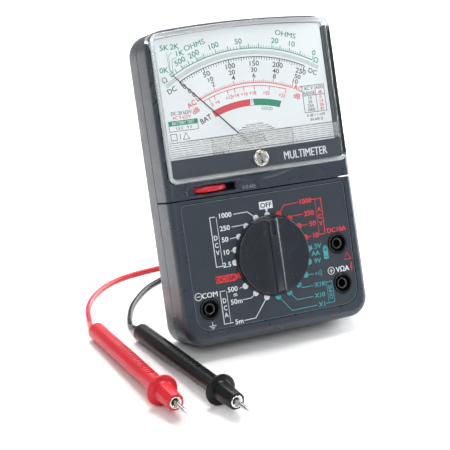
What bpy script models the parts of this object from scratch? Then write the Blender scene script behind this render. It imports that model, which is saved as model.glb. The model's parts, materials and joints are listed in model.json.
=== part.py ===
"""Analog multimeter on its tilt stand, with two test leads.

Lengths below are in millimetres and MM turns them into Blender's metres. The case is
modelled upright in a frame of its own: X to the right, Y from the face to the back, Z up
from the bottom edge. An empty then leans that frame back onto the tilt stand. In the
world, X is to the right, Y is away from the user, Z is up, and the table is at Z = 0.
The origin is the middle of the flat edge that the case rests on.
"""

import math

import bmesh
import bpy
import numpy as np
from mathutils import Matrix, Vector

MM = 0.001
GAP = 0.3  # between touching pieces

# Case
CASE_W = 100.0
CASE_H = 153.5
ARCH = 2.3  # rise of the top edge between its corners
CORNER_LOW = 10.0
CORNER_TOP = 11.0
DEPTH = 28.0
SEAM = 15.0  # front shells meet the rear shell here
WALL = 2.0
FACE_WALL = 2.4
FRONT_EDGE = 4.0
BACK_EDGE = 3.5
SPLIT = 70.5  # lower front shell meets the head
LEAN = math.radians(19.1)
REST_CUT = 7.8  # how far below the face's bottom edge the resting flat lies, along the lean

# Legend plate, selector and jacks
PLATE_HALF = 44.25
PLATE_LOW = 7.1
PLATE_TOP = 68.3
PLATE_FRONT = 0.4
PLATE_BACK = 0.9
KNOB_Z = 37.7
KNOB_R = 19.9
KNOB_TOP = 5.2
GRIP_HALF = 2.1
SHAFT_R = 3.4
JACKS = {"com": (-36.5, 17.5), "volt": (36.4, 17.8), "amp": (36.4, 37.9)}
JACK_R = 5.0
SLEEVE_R = 2.65
BORE_R = 2.0

# Meter window and movement
LENS_HALF = 48.2
LENS_LOW = 78.6
LENS_RIM = 1.2  # from the case's top edge to the lens
LENS_FRONT = -1.0
LENS_WALL = 1.5
LENS_SIDE = 2.2  # the lens wall's thickness at its sides
LENS_CORNER = 4.0
LENS_BACK = 6.0
BAND_TOP = 90.0
DIAL_FRONT = 4.4
DIAL_BACK = 5.2
DIAL_HALF = 44.6
PIVOT_Z = 91.0
POINTER_LENGTH = 53.8
REST_ANGLE = math.radians(-43.8)
SCREW_Z = 85.4
SCREW_PIN_OFFSET = 0.6
YOKE_R = 12.6

# Ohms-adjust wheel
WHEEL_X = -27.5
WHEEL_Y = 10.7
WHEEL_Z = 74.2
WHEEL_R = 11.5
WHEEL_THICK = 2.4

# Circuit board, cells and screws
BOARD_FRONT = 7.6
BOARD_BACK = 9.2
CELL_R = 7.1
CELL_LENGTH = 50.0
CELL_Y = 18.4
CELL_HEIGHTS = (14.0, 30.4)
CASE_SCREW = (44.0, 62.0)

# Tilt stand
HINGE_Y = 31.0
HINGE_Z = 84.0
STAND_TILT = math.radians(7.0)  # the leg's own angle from upright, when open
KNUCKLE_R = 2.6
KNUCKLE_HALF = 15.0
PIN_R = 1.2
PIN_HOLE_R = 1.5
STAND_THICK = 2.6

# Test leads
CORD_D = 2.6
CORD_Z = 1.35
PROBES = {"red": ((-80.2, 23.4), (-76.2, -82.9)), "black": ((-60.9, 12.6), (-51.1, -90.0))}
HANDLE_R = 4.5
GUARD_R = 7.5
HANDLE_LENGTH = 79.0
NOZZLE_LENGTH = 14.0
PIN_LENGTH = 11.5
COIL_R = 15.0  # middle of the turns
COIL_COLUMNS = 3
COIL_LAYERS = 2
COIL_CENTRES = {"red": (20.0, 113.6), "black": (2.0, 68.0)}
COIL_EXITS = {"red": -90.0, "black": 90.0}  # where each cord leaves its coil, in degrees
PLUG_R = 4.5
PLUG_RELIEF_R = 2.1
PLUG_START = 11.3  # from the coil's exit to the plug's rear
PLUG_LENGTH = 28.0
PLUG_PIN_LENGTH = 19.0
ROUTES = {
    "red": [
        (-79.9, 29.0, 3.7), (-79.1, 33.5, 2.3), (-77.8, 38.0, 1.4), (-75.2, 47.8, 1.35),
        (-70.7, 59.6, 1.35), (-62.4, 71.6, 1.35), (-50.4, 82.0, 1.35), (-36.5, 88.0, 1.35),
        (-17.6, 91.4, 1.35), (-3.0, 94.0, 1.35), (9.0, 95.8, 1.35),
    ],
    "black": [
        (-61.2, 18.0, 3.8), (-60.9, 22.5, 2.4), (-60.0, 27.5, 1.4), (-56.4, 37.5, 1.35),
        (-50.8, 48.5, 1.35), (-41.8, 60.3, 1.35), (-31.9, 70.0, 1.35), (-22.9, 75.8, 1.35),
        (-16.6, 79.1, 1.35),
    ],
}

COLOURS = {
    "case_grey": ((0.055, 0.065, 0.085), 0.45, 0.0),
    "plate_grey": ((0.05, 0.058, 0.075), 0.5, 0.0),
    "knob_black": ((0.02, 0.022, 0.026), 0.35, 0.0),
    "jack_black": ((0.012, 0.012, 0.014), 0.35, 0.0),
    "clear": ((0.85, 0.9, 0.93), 0.05, 0.0),
    "dial_white": ((0.8, 0.82, 0.82), 0.6, 0.0),
    "steel": ((0.6, 0.6, 0.6), 0.3, 1.0),
    "nickel": ((0.72, 0.7, 0.66), 0.25, 1.0),
    "brass": ((0.75, 0.58, 0.28), 0.3, 1.0),
    "copper": ((0.7, 0.35, 0.2), 0.4, 1.0),
    "iron": ((0.25, 0.25, 0.26), 0.5, 1.0),
    "needle_black": ((0.02, 0.02, 0.02), 0.5, 0.0),
    "board_green": ((0.05, 0.2, 0.1), 0.5, 0.0),
    "beige_plastic": ((0.6, 0.52, 0.4), 0.5, 0.0),
    "red_plastic": ((0.65, 0.03, 0.04), 0.35, 0.0),
    "black_plastic": ((0.015, 0.016, 0.02), 0.35, 0.0),
    "cell_blue": ((0.05, 0.12, 0.3), 0.35, 0.0),
    "fuse_glass": ((0.8, 0.85, 0.85), 0.05, 0.0),
}


# ---------------------------------------------------------------- scene and objects

def clear_scene():
    for obj in list(bpy.data.objects):
        bpy.data.objects.remove(obj, do_unlink=True)


def material(name):
    mat = bpy.data.materials.get(name)
    if mat is None:
        colour, roughness, metallic = COLOURS[name]
        mat = bpy.data.materials.new(name)
        mat.use_nodes = True
        shader = mat.node_tree.nodes["Principled BSDF"]
        shader.inputs["Base Color"].default_value = (*colour, 1.0)
        shader.inputs["Roughness"].default_value = roughness
        shader.inputs["Metallic"].default_value = metallic
    return mat


def empty(name, location, rotation=(0.0, 0.0, 0.0), parent=None):
    obj = bpy.data.objects.new(name, None)
    obj.location = Vector(location) * MM
    obj.rotation_euler = rotation
    obj.parent = parent
    bpy.context.collection.objects.link(obj)
    return obj


def place(name, bm, parent, at, turn):
    """Turn a bmesh in millimetres into an object under its parent."""
    bmesh.ops.remove_doubles(bm, verts=bm.verts, dist=1e-5)
    bmesh.ops.recalc_face_normals(bm, faces=bm.faces)
    bmesh.ops.scale(bm, vec=(MM, MM, MM), verts=bm.verts)
    mesh = bpy.data.meshes.new(name)
    bm.to_mesh(mesh)
    bm.free()
    obj = bpy.data.objects.new(name, mesh)
    obj.location = Vector(at) * MM
    obj.rotation_euler = turn
    obj.parent = parent
    bpy.context.collection.objects.link(obj)
    return obj


def node(name, bm, finish, parent=None, at=(0, 0, 0), turn=(0, 0, 0), smooth=30.0):
    """One named sub-part with its own material."""
    obj = place(name, bm, parent, at, turn)
    obj.data.materials.append(material(finish))
    obj.data.shade_smooth()
    obj.data.set_sharp_from_angle(angle=math.radians(smooth))
    return obj


def boolean(target, operation, bm, at=(0, 0, 0), turn=(0, 0, 0)):
    """Cut a shape from a sub-part, or join it on. The shape stays as a hidden guide."""
    count = len(target.modifiers) + 1
    tool = place(f"{target.name}_tool_{count}", bm, target.parent, at, turn)
    tool.hide_render = True
    tool.display_type = "WIRE"
    change = target.modifiers.new(f"{operation.lower()}_{count}", "BOOLEAN")
    change.operation = operation
    change.solver = "EXACT"
    change.object = tool


def cut(target, bm, at=(0, 0, 0), turn=(0, 0, 0)):
    boolean(target, "DIFFERENCE", bm, at, turn)


def join(target, bm, at=(0, 0, 0), turn=(0, 0, 0)):
    boolean(target, "UNION", bm, at, turn)


# ---------------------------------------------------------------- shapes

OUTWARD = (math.radians(90), 0.0, 0.0)  # a turned piece's axis points out of the face
INWARD = (math.radians(-90), 0.0, 0.0)
SIDEWAYS = (0.0, math.radians(90), 0.0)
Z_TO_Y = Matrix.Rotation(math.radians(-90), 4, "X")
Z_TO_X = Matrix.Rotation(math.radians(90), 4, "Y")
SWAP_XY = Matrix(((0, 1, 0, 0), (1, 0, 0, 0), (0, 0, 1, 0), (0, 0, 0, 1)))
SWAP_YZ = Matrix(((1, 0, 0, 0), (0, 0, 1, 0), (0, 1, 0, 0), (0, 0, 0, 1)))


def arc(cx, cz, radius, start, end, steps):
    """Points of an arc, its angles in degrees."""
    angles = np.radians(np.linspace(start, end, steps))
    return [(cx + radius * math.cos(a), cz + radius * math.sin(a)) for a in angles]


def rounded_box(x0, x1, z0, z1, low, top, steps=6):
    """A rectangle with rounded lower and upper corners."""
    return (
        arc(x0 + low, z0 + low, low, 180, 270, steps)
        + arc(x1 - low, z0 + low, low, 270, 360, steps)
        + arc(x1 - top, z1 - top, top, 0, 90, steps)
        + arc(x0 + top, z1 - top, top, 90, 180, steps)
    )


def foot_outline(inset, steps=6):
    """The case's two lower corners, from left to right."""
    half = CASE_W / 2 - inset
    radius = CORNER_LOW - inset
    return (
        arc(-half + radius, inset + radius, radius, 180, 270, steps)
        + arc(half - radius, inset + radius, radius, 270, 360, steps)
    )


def head_outline(inset, top_inset=None, radius=None, steps=6):
    """The case's arched top with its corners, from right to left."""
    top_inset = inset if top_inset is None else top_inset
    half = CASE_W / 2 - inset
    height = CASE_H - top_inset
    radius = CORNER_TOP - inset if radius is None else radius
    corner_x = half - radius
    slope = math.degrees(math.atan(2 * ARCH * corner_x / half**2))
    touch_x = corner_x + radius * math.sin(math.radians(slope))
    touch_z = height - ARCH * (touch_x / half) ** 2
    corner_z = touch_z - radius * math.cos(math.radians(slope))
    right = arc(corner_x, corner_z, radius, 0, 90 - slope, steps)
    crown = [(x, height - ARCH * (x / half) ** 2) for x in np.linspace(touch_x, -touch_x, 9)[1:-1]]
    left = [(-x, z) for x, z in reversed(right)]
    return right + crown + left


def case_outline(inset):
    return foot_outline(inset) + head_outline(inset)


def lower_outline(inset, top):
    half = CASE_W / 2 - inset
    return foot_outline(inset) + [(half, top), (-half, top)]


def upper_outline(inset, bottom):
    half = CASE_W / 2 - inset
    return [(-half, bottom), (half, bottom)] + head_outline(inset)


def lens_outline(inset=0.0):
    half = LENS_HALF - inset
    low = LENS_LOW + inset
    radius = LENS_CORNER - inset
    corners = arc(-half + radius, low + radius, radius, 180, 270, 5)
    corners += arc(half - radius, low + radius, radius, 270, 360, 5)
    return corners + head_outline(CASE_W / 2 - half, LENS_RIM + inset, radius)


def prism(outline, y0, y1):
    """An outline in X and Z, made solid from Y = y0 to y1."""
    bm = bmesh.new()
    front = [bm.verts.new((x, y0, z)) for x, z in outline]
    back = [bm.verts.new((x, y1, z)) for x, z in outline]
    bm.faces.new(front)
    bm.faces.new(list(reversed(back)))
    for i in range(len(outline)):
        j = (i + 1) % len(outline)
        bm.faces.new((front[j], front[i], back[i], back[j]))
    return bm


def cross_prism(outline, x0, x1):
    """An outline in Y and Z, made solid from X = x0 to x1."""
    bm = prism(outline, x0, x1)
    bmesh.ops.transform(bm, matrix=SWAP_XY, verts=bm.verts)
    return bm


def flat_prism(outline, z0, z1):
    """An outline in X and Y, made solid from Z = z0 to z1."""
    bm = prism(outline, z0, z1)
    bmesh.ops.transform(bm, matrix=SWAP_YZ, verts=bm.verts)
    return bm


def block(x0, x1, y0, y1, z0, z1):
    return prism([(x0, z0), (x1, z0), (x1, z1), (x0, z1)], y0, y1)


def round_edges(bm, radius, segments, chosen):
    """Bevel the edges whose two ends pass the test."""
    bm.normal_update()
    edges = [e for e in bm.edges if chosen(e.verts[0].co, e.verts[1].co)]
    bmesh.ops.bevel(bm, geom=edges, offset=radius, segments=segments, profile=0.5, affect="EDGES")


def turned(profile, steps=32):
    """A profile of (radius, height) points, turned about Z. One that starts and ends on
    the axis gives a solid, and one that doesn't is closed into a ring."""
    bm = bmesh.new()
    circle = [(math.cos(a), math.sin(a)) for a in np.linspace(0, 2 * math.pi, steps, endpoint=False)]
    rings = []
    for radius, height in profile:
        if radius < 1e-6:
            rings.append([bm.verts.new((0, 0, height))])
        else:
            rings.append([bm.verts.new((radius * c, radius * s, height)) for c, s in circle])
    on_axis = profile[0][0] < 1e-6
    following = rings[1:] if on_axis else rings[1:] + rings[:1]
    for lower, upper in zip(rings, following):
        for i in range(steps):
            j = (i + 1) % steps
            corners = [lower[i % len(lower)], lower[j % len(lower)]]
            corners += [upper[j % len(upper)], upper[i % len(upper)]]
            unique = list(dict.fromkeys(corners))
            if len(unique) > 2:
                bm.faces.new(unique)
    return bm


def cylinder(radius, low, high, steps=24):
    return turned([(0, low), (radius, low), (radius, high), (0, high)], steps)


def several(shapes):
    """One bmesh that holds several separate shapes."""
    bm = bmesh.new()
    scratch = bpy.data.meshes.new("scratch")
    for shape in shapes:
        shape.to_mesh(scratch)
        shape.free()
        bm.from_mesh(scratch)
    bpy.data.meshes.remove(scratch)
    return bm


def moved(bm, at, turn=Matrix.Identity(4)):
    bmesh.ops.transform(bm, matrix=Matrix.Translation(at) @ turn, verts=bm.verts)
    return bm


def hole(x, z, radius, y0, y1, steps=24):
    """A round cutter along the case's depth."""
    return moved(cylinder(radius, y0, y1, steps), (x, 0, z), Z_TO_Y)


def hinge_rod(radius, half, at=(0, 0, 0)):
    """A round rod or cutter along X, centred on a point."""
    return moved(cylinder(radius, -half, half), at, Z_TO_X)


# ---------------------------------------------------------------- case

def build_rear_case(case):
    start = SEAM + GAP / 2
    shell = prism(case_outline(0), start, DEPTH)
    round_edges(shell, BACK_EDGE, 3, lambda a, b: min(a.y, b.y) > DEPTH - 0.01)
    rear = node("rear_case", shell, "case_grey", case)
    cut(rear, prism(case_outline(WALL), start - 1, DEPTH - WALL))
    boss_x, boss_z = CASE_SCREW
    bosses = [hole(side * boss_x, boss_z, 4.2, start, DEPTH - 1) for side in (-1, 1)]
    join(rear, several(bosses))
    lug = arc(HINGE_Y, HINGE_Z, 2.8, -90, 90, 9)
    lug += [(DEPTH - 1, HINGE_Z + 2.8), (DEPTH - 1, HINGE_Z - 2.8)]
    inner = KNUCKLE_HALF + GAP
    join(rear, several([cross_prism(lug, inner, inner + 5), cross_prism(lug, -inner - 5, -inner)]))
    wells = [hole(side * boss_x, boss_z, 2.8, 24.3, DEPTH + 1) for side in (-1, 1)]
    cut(rear, several(wells))
    bores = [hole(side * boss_x, boss_z, 1.5, start - 1, 25) for side in (-1, 1)]
    cut(rear, several(bores + [hinge_rod(PIN_HOLE_R, 22, (0, HINGE_Y, HINGE_Z))]))
    rest = block(-60, 60, -60, 60, -20, -REST_CUT)
    cut(rear, moved(rest, (0, 0, 0), Matrix.Rotation(LEAN, 4, "X")))


def build_front_case(case):
    top = SPLIT - GAP
    shell = prism(lower_outline(0, top), 0, SEAM - GAP / 2)
    round_edges(shell, FRONT_EDGE, 4, lambda a, b: max(a.y, b.y) < 0.01 and min(a.z, b.z) < top - 0.01)
    front = node("front_case", shell, "case_grey", case)
    cut(front, prism(lower_outline(WALL, top - WALL), FACE_WALL, SEAM + 1))
    recess = rounded_box(-PLATE_HALF - GAP, PLATE_HALF + GAP, PLATE_LOW - GAP, PLATE_TOP + GAP, 7.8, 2.3)
    cut(front, prism(recess, -1, PLATE_BACK + GAP))
    boss_x, boss_z = CASE_SCREW
    join(front, several([hole(side * boss_x, boss_z, 3.2, 2.0, SEAM - GAP / 2) for side in (-1, 1)]))
    holes = [hole(x, z, JACK_R + GAP, -1, 4) for x, z in JACKS.values()]
    holes.append(hole(0, KNOB_Z, SHAFT_R + 0.6, -1, 4))
    holes += [hole(side * boss_x, boss_z, 1.5, 6, SEAM + 1) for side in (-1, 1)]
    cut(front, several(holes))


def build_legend_plate(case):
    outline = rounded_box(-PLATE_HALF, PLATE_HALF, PLATE_LOW, PLATE_TOP, 7.5, 2.0)
    plate = node("legend_plate", prism(outline, PLATE_FRONT, PLATE_BACK), "plate_grey", case)
    holes = [hole(x, z, JACK_R + GAP, -1, 4) for x, z in JACKS.values()]
    holes.append(hole(0, KNOB_Z, SHAFT_R + 0.6, -1, 4))
    cut(plate, several(holes))


def finger_scoop():
    """Cutter for the crescent hollow under the window: its chord lies along the window's
    lower edge, and it is deepest there."""
    half_chord = 18.0
    sag = 3.2
    radius = (half_chord**2 + sag**2) / (2 * sag)
    profile = [(0, -1.5), (radius - 3.0, -1.5), (radius - 1.8, -1.3), (radius - 0.8, -0.9)]
    profile += [(radius - 0.2, -0.4), (radius, 0), (radius, 1), (0, 1)]
    centre_z = LENS_LOW - GAP - sag + radius
    return moved(turned(profile, 96), (0, 0, centre_z), Matrix.Rotation(math.radians(90), 4, "X"))


def build_head_frame(case):
    """The upper front shell: window opening, wheel slot in a pill recess, finger scoop."""
    bottom = SPLIT + GAP
    shell = prism(upper_outline(0, bottom), 0, SEAM - GAP / 2)
    round_edges(shell, FRONT_EDGE, 4, lambda a, b: max(a.y, b.y) < 0.01 and max(a.z, b.z) > bottom + 0.01)
    head = node("head_frame", shell, "case_grey", case)
    cut(head, prism(upper_outline(WALL, bottom - 5), WALL, SEAM + 1))
    cut(head, prism(lens_outline(-GAP), -1, LENS_BACK + GAP))
    cut(head, finger_scoop())
    pill = rounded_box(-40.2, -14.2, WHEEL_Z - 2.45, WHEEL_Z + 2.45, 2.44, 2.44)
    cut(head, prism(pill, -1, 1.2))
    cut(head, block(-37.2, -17.8, -1, 4, WHEEL_Z - 1.7, WHEEL_Z + 1.7))


def build_case_screws(case):
    x, z = CASE_SCREW
    profile = [(0, -17), (1.2, -17), (1.2, -0.2), (2.4, -0.2), (2.4, 1.2), (1.9, 1.7), (0, 1.7)]
    for side, name in ((-1, "left"), (1, "right")):
        screw = node(f"case_screw_{name}", turned(profile, 16), "steel", case, (side * x, 24.9, z), INWARD)
        slot = block(side * x - 0.4, side * x + 0.4, 25.9, 27, z - 3, z + 3)
        cut(screw, slot)


# ---------------------------------------------------------------- selector and jacks

def build_selector(case):
    """Knob with a raised grip bar between two hollow scoops, on the switch rotor's shaft."""
    flange = 1.9
    base = PLATE_FRONT - GAP
    profile = [(0, -base), (KNOB_R, -base), (KNOB_R, 0.7), (KNOB_R - 0.6, flange)]
    profile += [(KNOB_R - 2.6, KNOB_TOP - 0.6), (KNOB_R - 3.6, KNOB_TOP), (0, KNOB_TOP)]
    knob = node("selector_knob", turned(profile, 44), "knob_black", case, (0, 0, KNOB_Z), OUTWARD)
    scoop_r = 21.0
    depth = 3.6
    centre_y = -(KNOB_TOP - depth + scoop_r)
    for side in (-1, 1):
        centre_x = side * (GRIP_HALF + math.sqrt(scoop_r**2 - (scoop_r - depth) ** 2))
        cut(knob, moved(cylinder(scoop_r, -30, 30, 80), (centre_x, centre_y, KNOB_Z)))
    cut(knob, block(-0.9, 0.9, -KNOB_TOP - 1, -KNOB_TOP + 0.9, KNOB_Z + 9, KNOB_Z + 17.5))
    cut(knob, hole(0, KNOB_Z, SHAFT_R + GAP, -2.9, 1))

    rotor = [(0, -4.6), (14.6, -4.6), (14.6, -2.9), (6, -2.9), (SHAFT_R, -2.7), (SHAFT_R, 2.5), (0, 2.5)]
    node("switch_rotor", turned(rotor, 28), "beige_plastic", case, (0, 0, KNOB_Z), OUTWARD)
    node("wiper_contact", block(-1.2, 1.2, 4.9, 7.2, 5, 13), "brass", case, (0, 0, KNOB_Z))


def build_detent_spring(case):
    """A leaf spring whose nose rides on the rotor's rim."""
    rim = 15.0
    strip = arc(0, 0, rim + 0.4, 200, 250, 9) + arc(0, 0, rim + 0.9, 250, 200, 9)
    node("detent_spring", prism(strip, 3.0, 4.5), "steel", case, (0, 0, KNOB_Z))


def build_jacks(case):
    body = [(2.95, -7.3), (JACK_R, -7.3), (JACK_R, -0.1), (JACK_R - 0.15, 0.1)]
    body += [(4.35, 0.1), (4.35, -6), (2.95, -6)]
    sleeve = [(BORE_R, -9.9), (SLEEVE_R, -9.9), (SLEEVE_R, -0.9), (BORE_R + 0.2, -0.9), (BORE_R, -1.1)]
    for name, (x, z) in JACKS.items():
        node(f"jack_body_{name}", turned(body, 24), "jack_black", case, (x, 0, z), OUTWARD)
        node(f"jack_sleeve_{name}", turned(sleeve, 24), "nickel", case, (x, 0, z), OUTWARD)


# ---------------------------------------------------------------- meter window

def build_lens(case):
    shell = prism(lens_outline(), LENS_FRONT, LENS_BACK)
    round_edges(shell, 0.8, 2, lambda a, b: max(a.y, b.y) < LENS_FRONT + 0.01)
    lens = node("lens_cover", shell, "clear", case)
    cut(lens, prism(lens_outline(LENS_SIDE), LENS_FRONT + LENS_WALL, LENS_BACK + 1))
    cut(lens, hole(0, SCREW_Z, 1.9, -3, 2))


def build_band(case):
    inset = LENS_SIDE + GAP
    outline = rounded_box(-LENS_HALF + inset, LENS_HALF - inset, LENS_LOW + inset, BAND_TOP, 1.5, 0.2)
    front = LENS_FRONT + LENS_WALL + GAP
    band = node("band_cover", prism(outline, front, front + 0.5), "case_grey", case)
    cut(band, hole(0, SCREW_Z, 1.9, -3, 3))


def build_dial(case):
    inset = CASE_W / 2 - DIAL_HALF
    low = LENS_LOW + LENS_SIDE + GAP
    outline = arc(-DIAL_HALF + 2, low + 2, 2, 180, 270, 4) + arc(DIAL_HALF - 2, low + 2, 2, 270, 360, 4)
    outline += head_outline(inset, LENS_RIM + LENS_SIDE + GAP, 2.0)
    dial = node("dial_plate", prism(outline, DIAL_FRONT, DIAL_BACK), "dial_white", case)
    cut(dial, block(-22, 22, DIAL_FRONT - 1, DIAL_BACK + 1, low - 1, 98.5))


def build_zero_adjust(case):
    """A slotted screw whose eccentric pin swings the hairspring's arm."""
    profile = [(0, -1.4), (1.6, -1.4), (1.6, 1.3), (3.9, 1.3), (3.9, 2.6), (3.5, 3.0), (3.0, 3.0)]
    profile += [(2.8, 2.7), (0, 2.7)]
    screw = node("zero_adjust_screw", turned(profile, 24), "nickel", case, (0, 0, SCREW_Z), OUTWARD)
    cut(screw, block(-0.5, 0.5, -4, -2.0, SCREW_Z - 2.7, SCREW_Z + 2.7))
    join(screw, hole(0, SCREW_Z + SCREW_PIN_OFFSET, 0.4, 1.2, 2.9, 12))

    fork = [(-1.7, -6.4), (-0.7, -6.4), (-0.7, -4.3), (0.7, -4.3), (0.7, -6.4), (1.7, -6.4)]
    arm_outline = fork + arc(0, 0, 2.3, -40, 220, 15)
    arm = node("zero_arm", prism(arm_outline, 2.35, 2.6), "brass", case, (0, 0, PIVOT_Z))
    cut(arm, hole(0, PIVOT_Z, 0.9, 2, 3))

    turns = 2.5
    steps = 40
    inner, outer = [], []
    for i in range(steps + 1):
        angle = 2 * math.pi * turns * i / steps
        radius = 1.3 + 2.0 * i / steps
        inner.append(((radius - 0.1) * math.cos(angle), (radius - 0.1) * math.sin(angle)))
        outer.append(((radius + 0.1) * math.cos(angle), (radius + 0.1) * math.sin(angle)))
    node("hairspring", prism(inner + outer[::-1], 2.85, 3.1), "brass", case, (0, 0, PIVOT_Z))


def build_movement(case):
    """Moving-coil movement behind the dial: magnet core and coil in a soft-iron ring."""
    at = (0, 0, PIVOT_Z)
    pivot = empty("pointer_axis", at, (0, REST_ANGLE, 0), case)

    pointer = [(-0.16, POINTER_LENGTH), (-0.3, 2)] + arc(0, 0, 1.8, 100, 260, 9)
    pointer += [(-0.5, -7), (0.5, -7)] + arc(0, 0, 1.8, 280, 440, 9) + [(0.3, 2), (0.16, POINTER_LENGTH)]
    needle = node("pointer", prism(pointer, 3.35, 3.65), "needle_black", pivot)
    cut(needle, hole(0, 0, 0.75, 3, 4, 16))
    node("tail_weight", hole(0, -6, 1.5, 3.95, 6.4, 16), "brass", pivot)
    node("pointer_shaft", cylinder(0.45, -6.9, -2.4, 12), "steel", pivot, (0, 0, 0), OUTWARD)

    coil = node("moving_coil", block(-8.2, 8.2, 7.2, 19.2, -0.8, 0.8), "copper", pivot)
    cut(coil, block(-7.1, 7.1, 8.3, 18.1, -2, 2))
    join(coil, hole(0, 0, 0.5, 19.0, 20.2, 12))

    core = node("core_magnet", hole(0, PIVOT_Z, 6.2, 8.7, 17.7, 28), "iron", case)
    join(core, block(-1.2, 1.2, 9.5, 17.0, PIVOT_Z - 10.2, PIVOT_Z + 10.2))
    ring = [(10.6, -20.3), (YOKE_R, -20.3), (YOKE_R, -8.7), (10.6, -8.7)]
    node("yoke_ring", turned(ring, 28), "iron", case, at, OUTWARD)

    bridge = node("front_bridge", block(-17.5, 17.5, 1.5, 2.1, 88.6, 93.4), "beige_plastic", case)
    join(bridge, several([hole(side * 15.7, PIVOT_Z, 1.5, 1.6, 20.3, 16) for side in (-1, 1)]))

    frame = node("movement_frame", block(-19.5, 19.5, 20.6, 22.2, 76.5, 106), "beige_plastic", case)
    posts = [hole(x, z, 1.8, DIAL_BACK + GAP, 21, 16) for x in (-17, 17) for z in (84.0, 103)]
    join(frame, several(posts))
    cut(frame, hole(0, PIVOT_Z, 1.9, 20, 23))
    node("jewel_screw", cylinder(1.5, -22.8, -20.5, 16), "brass", case, at, OUTWARD)


# ---------------------------------------------------------------- ohms adjust, board, cells

def build_ohms_adjust(case):
    """Knurled thumbwheel on the shaft of its potentiometer."""
    at = (WHEEL_X, WHEEL_Y, WHEEL_Z)
    teeth = 30
    rim = []
    for i in range(teeth):
        start = 360 * i / teeth
        rim += arc(0, 0, WHEEL_R, start, start + 5.5, 2)
        rim += arc(0, 0, WHEEL_R - 0.45, start + 7.5, start + 10.0, 2)
    disc = flat_prism(rim, -WHEEL_THICK / 2, WHEEL_THICK / 2)
    wheel = node("ohms_adjust_wheel", disc, "red_plastic", case, at)
    join(wheel, cylinder(1.6, 0, 3.8, 16), at)
    low = WHEEL_THICK / 2 + GAP
    pot = [(1.9, low), (5.2, low), (5.2, low + 2.4), (1.9, low + 2.4)]
    node("adjust_pot", turned(pot, 24), "beige_plastic", case, at)


def build_board(case):
    outline = block(-40.2, 40.2, BOARD_FRONT, BOARD_BACK, 5, 67.5)
    board = node("circuit_board", outline, "board_green", case)
    cut(board, several([hole(x, z, SLEEVE_R + GAP, 5, 12) for x, z in JACKS.values()]))

    fuse_x, fuse_y, fuse_z = -24.0, 12.8, 46.5
    base = BOARD_BACK + GAP
    half_clip = [(0, base), (2.9, base), (2.9, 15.5), (3.4, 17), (2.9, 17), (2.4, 15.6), (2.4, 10), (0, 10)]
    clip = [(y, fuse_z + z) for z, y in half_clip] + [(y, fuse_z - z) for z, y in half_clip[-2:0:-1]]
    for side, name in ((-1, "left"), (1, "right")):
        x = fuse_x + side * 8.0
        node(f"fuse_clip_{name}", cross_prism(clip, x - 2, x + 2), "brass", case)
    node("fuse", cylinder(2.1, -10, 10, 20), "fuse_glass", case, (fuse_x, fuse_y, fuse_z), SIDEWAYS)
    node("buzzer", cylinder(6.5, -14.5, -9.5, 28), "black_plastic", case, (27, 0, 52), OUTWARD)


def wire(name, points, radius, finish, parent=None, resolution=2):
    """A round wire or cord along points in millimetres, with closed ends."""
    curve = bpy.data.curves.new(name, "CURVE")
    curve.dimensions = "3D"
    curve.bevel_depth = radius * MM
    curve.bevel_resolution = resolution
    curve.use_fill_caps = True
    spline = curve.splines.new("POLY")
    spline.points.add(len(points) - 1)
    for target, point in zip(spline.points, points):
        target.co = (*(Vector(point) * MM), 1.0)
    curve.materials.append(material(finish))
    obj = bpy.data.objects.new(name, curve)
    obj.parent = parent
    bpy.context.collection.objects.link(obj)
    return obj


def build_shunt(case):
    """A bridge of thick wire, standing on the board's back."""
    x0, half, height = 14.0, 6.0, 45.0
    crown = [(x0 - half * math.cos(a), 15 + 3 * math.sin(a), height) for a in np.linspace(0, math.pi, 9)]
    base = BOARD_BACK + GAP
    wire("shunt", [(x0 - half, base, height), *crown, (x0 + half, base, height)], 0.75, "copper", case)


def build_cells(case):
    half = CELL_LENGTH / 2
    profile = [(0, -half), (CELL_R, -half), (CELL_R, half - 1.4), (2.7, half - 1.4), (2.7, half), (0, half)]
    for number, (height, side) in enumerate(zip(CELL_HEIGHTS, (1, -1)), start=1):
        turn = (0, side * math.radians(90), 0)
        node(f"cell_{number}", turned(profile, 28), "cell_blue", case, (0, CELL_Y, height), turn)
    for side, name in ((-1, "left"), (1, "right")):
        x = side * (half + 1.2)
        plate = block(min(x, x + side * 0.6), max(x, x + side * 0.6), 12.5, 24.5, 8, 36)
        node(f"cell_contact_{name}", plate, "steel", case)


# ---------------------------------------------------------------- tilt stand

def case_to_world(y, z):
    """Y and Z on the leant case, in the world."""
    flat_start, flat_end = rest_flat()
    middle = (flat_start + flat_end) / 2
    return (
        y * math.cos(LEAN) + z * math.sin(LEAN) - middle,
        -y * math.sin(LEAN) + z * math.cos(LEAN) + REST_CUT,
    )


def rest_flat():
    """Where the resting flat starts and ends, along the lean. It runs from the bottom
    face to the rounded back edge."""
    start = REST_CUT / math.sin(LEAN) * math.cos(LEAN)
    centre_y, centre_z = DEPTH - BACK_EDGE, BACK_EDGE
    centre = centre_y * math.cos(LEAN) + centre_z * math.sin(LEAN)
    drop = REST_CUT - (centre_y * math.sin(LEAN) - centre_z * math.cos(LEAN))
    return start, centre + math.sqrt(BACK_EDGE**2 - drop**2)


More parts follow.
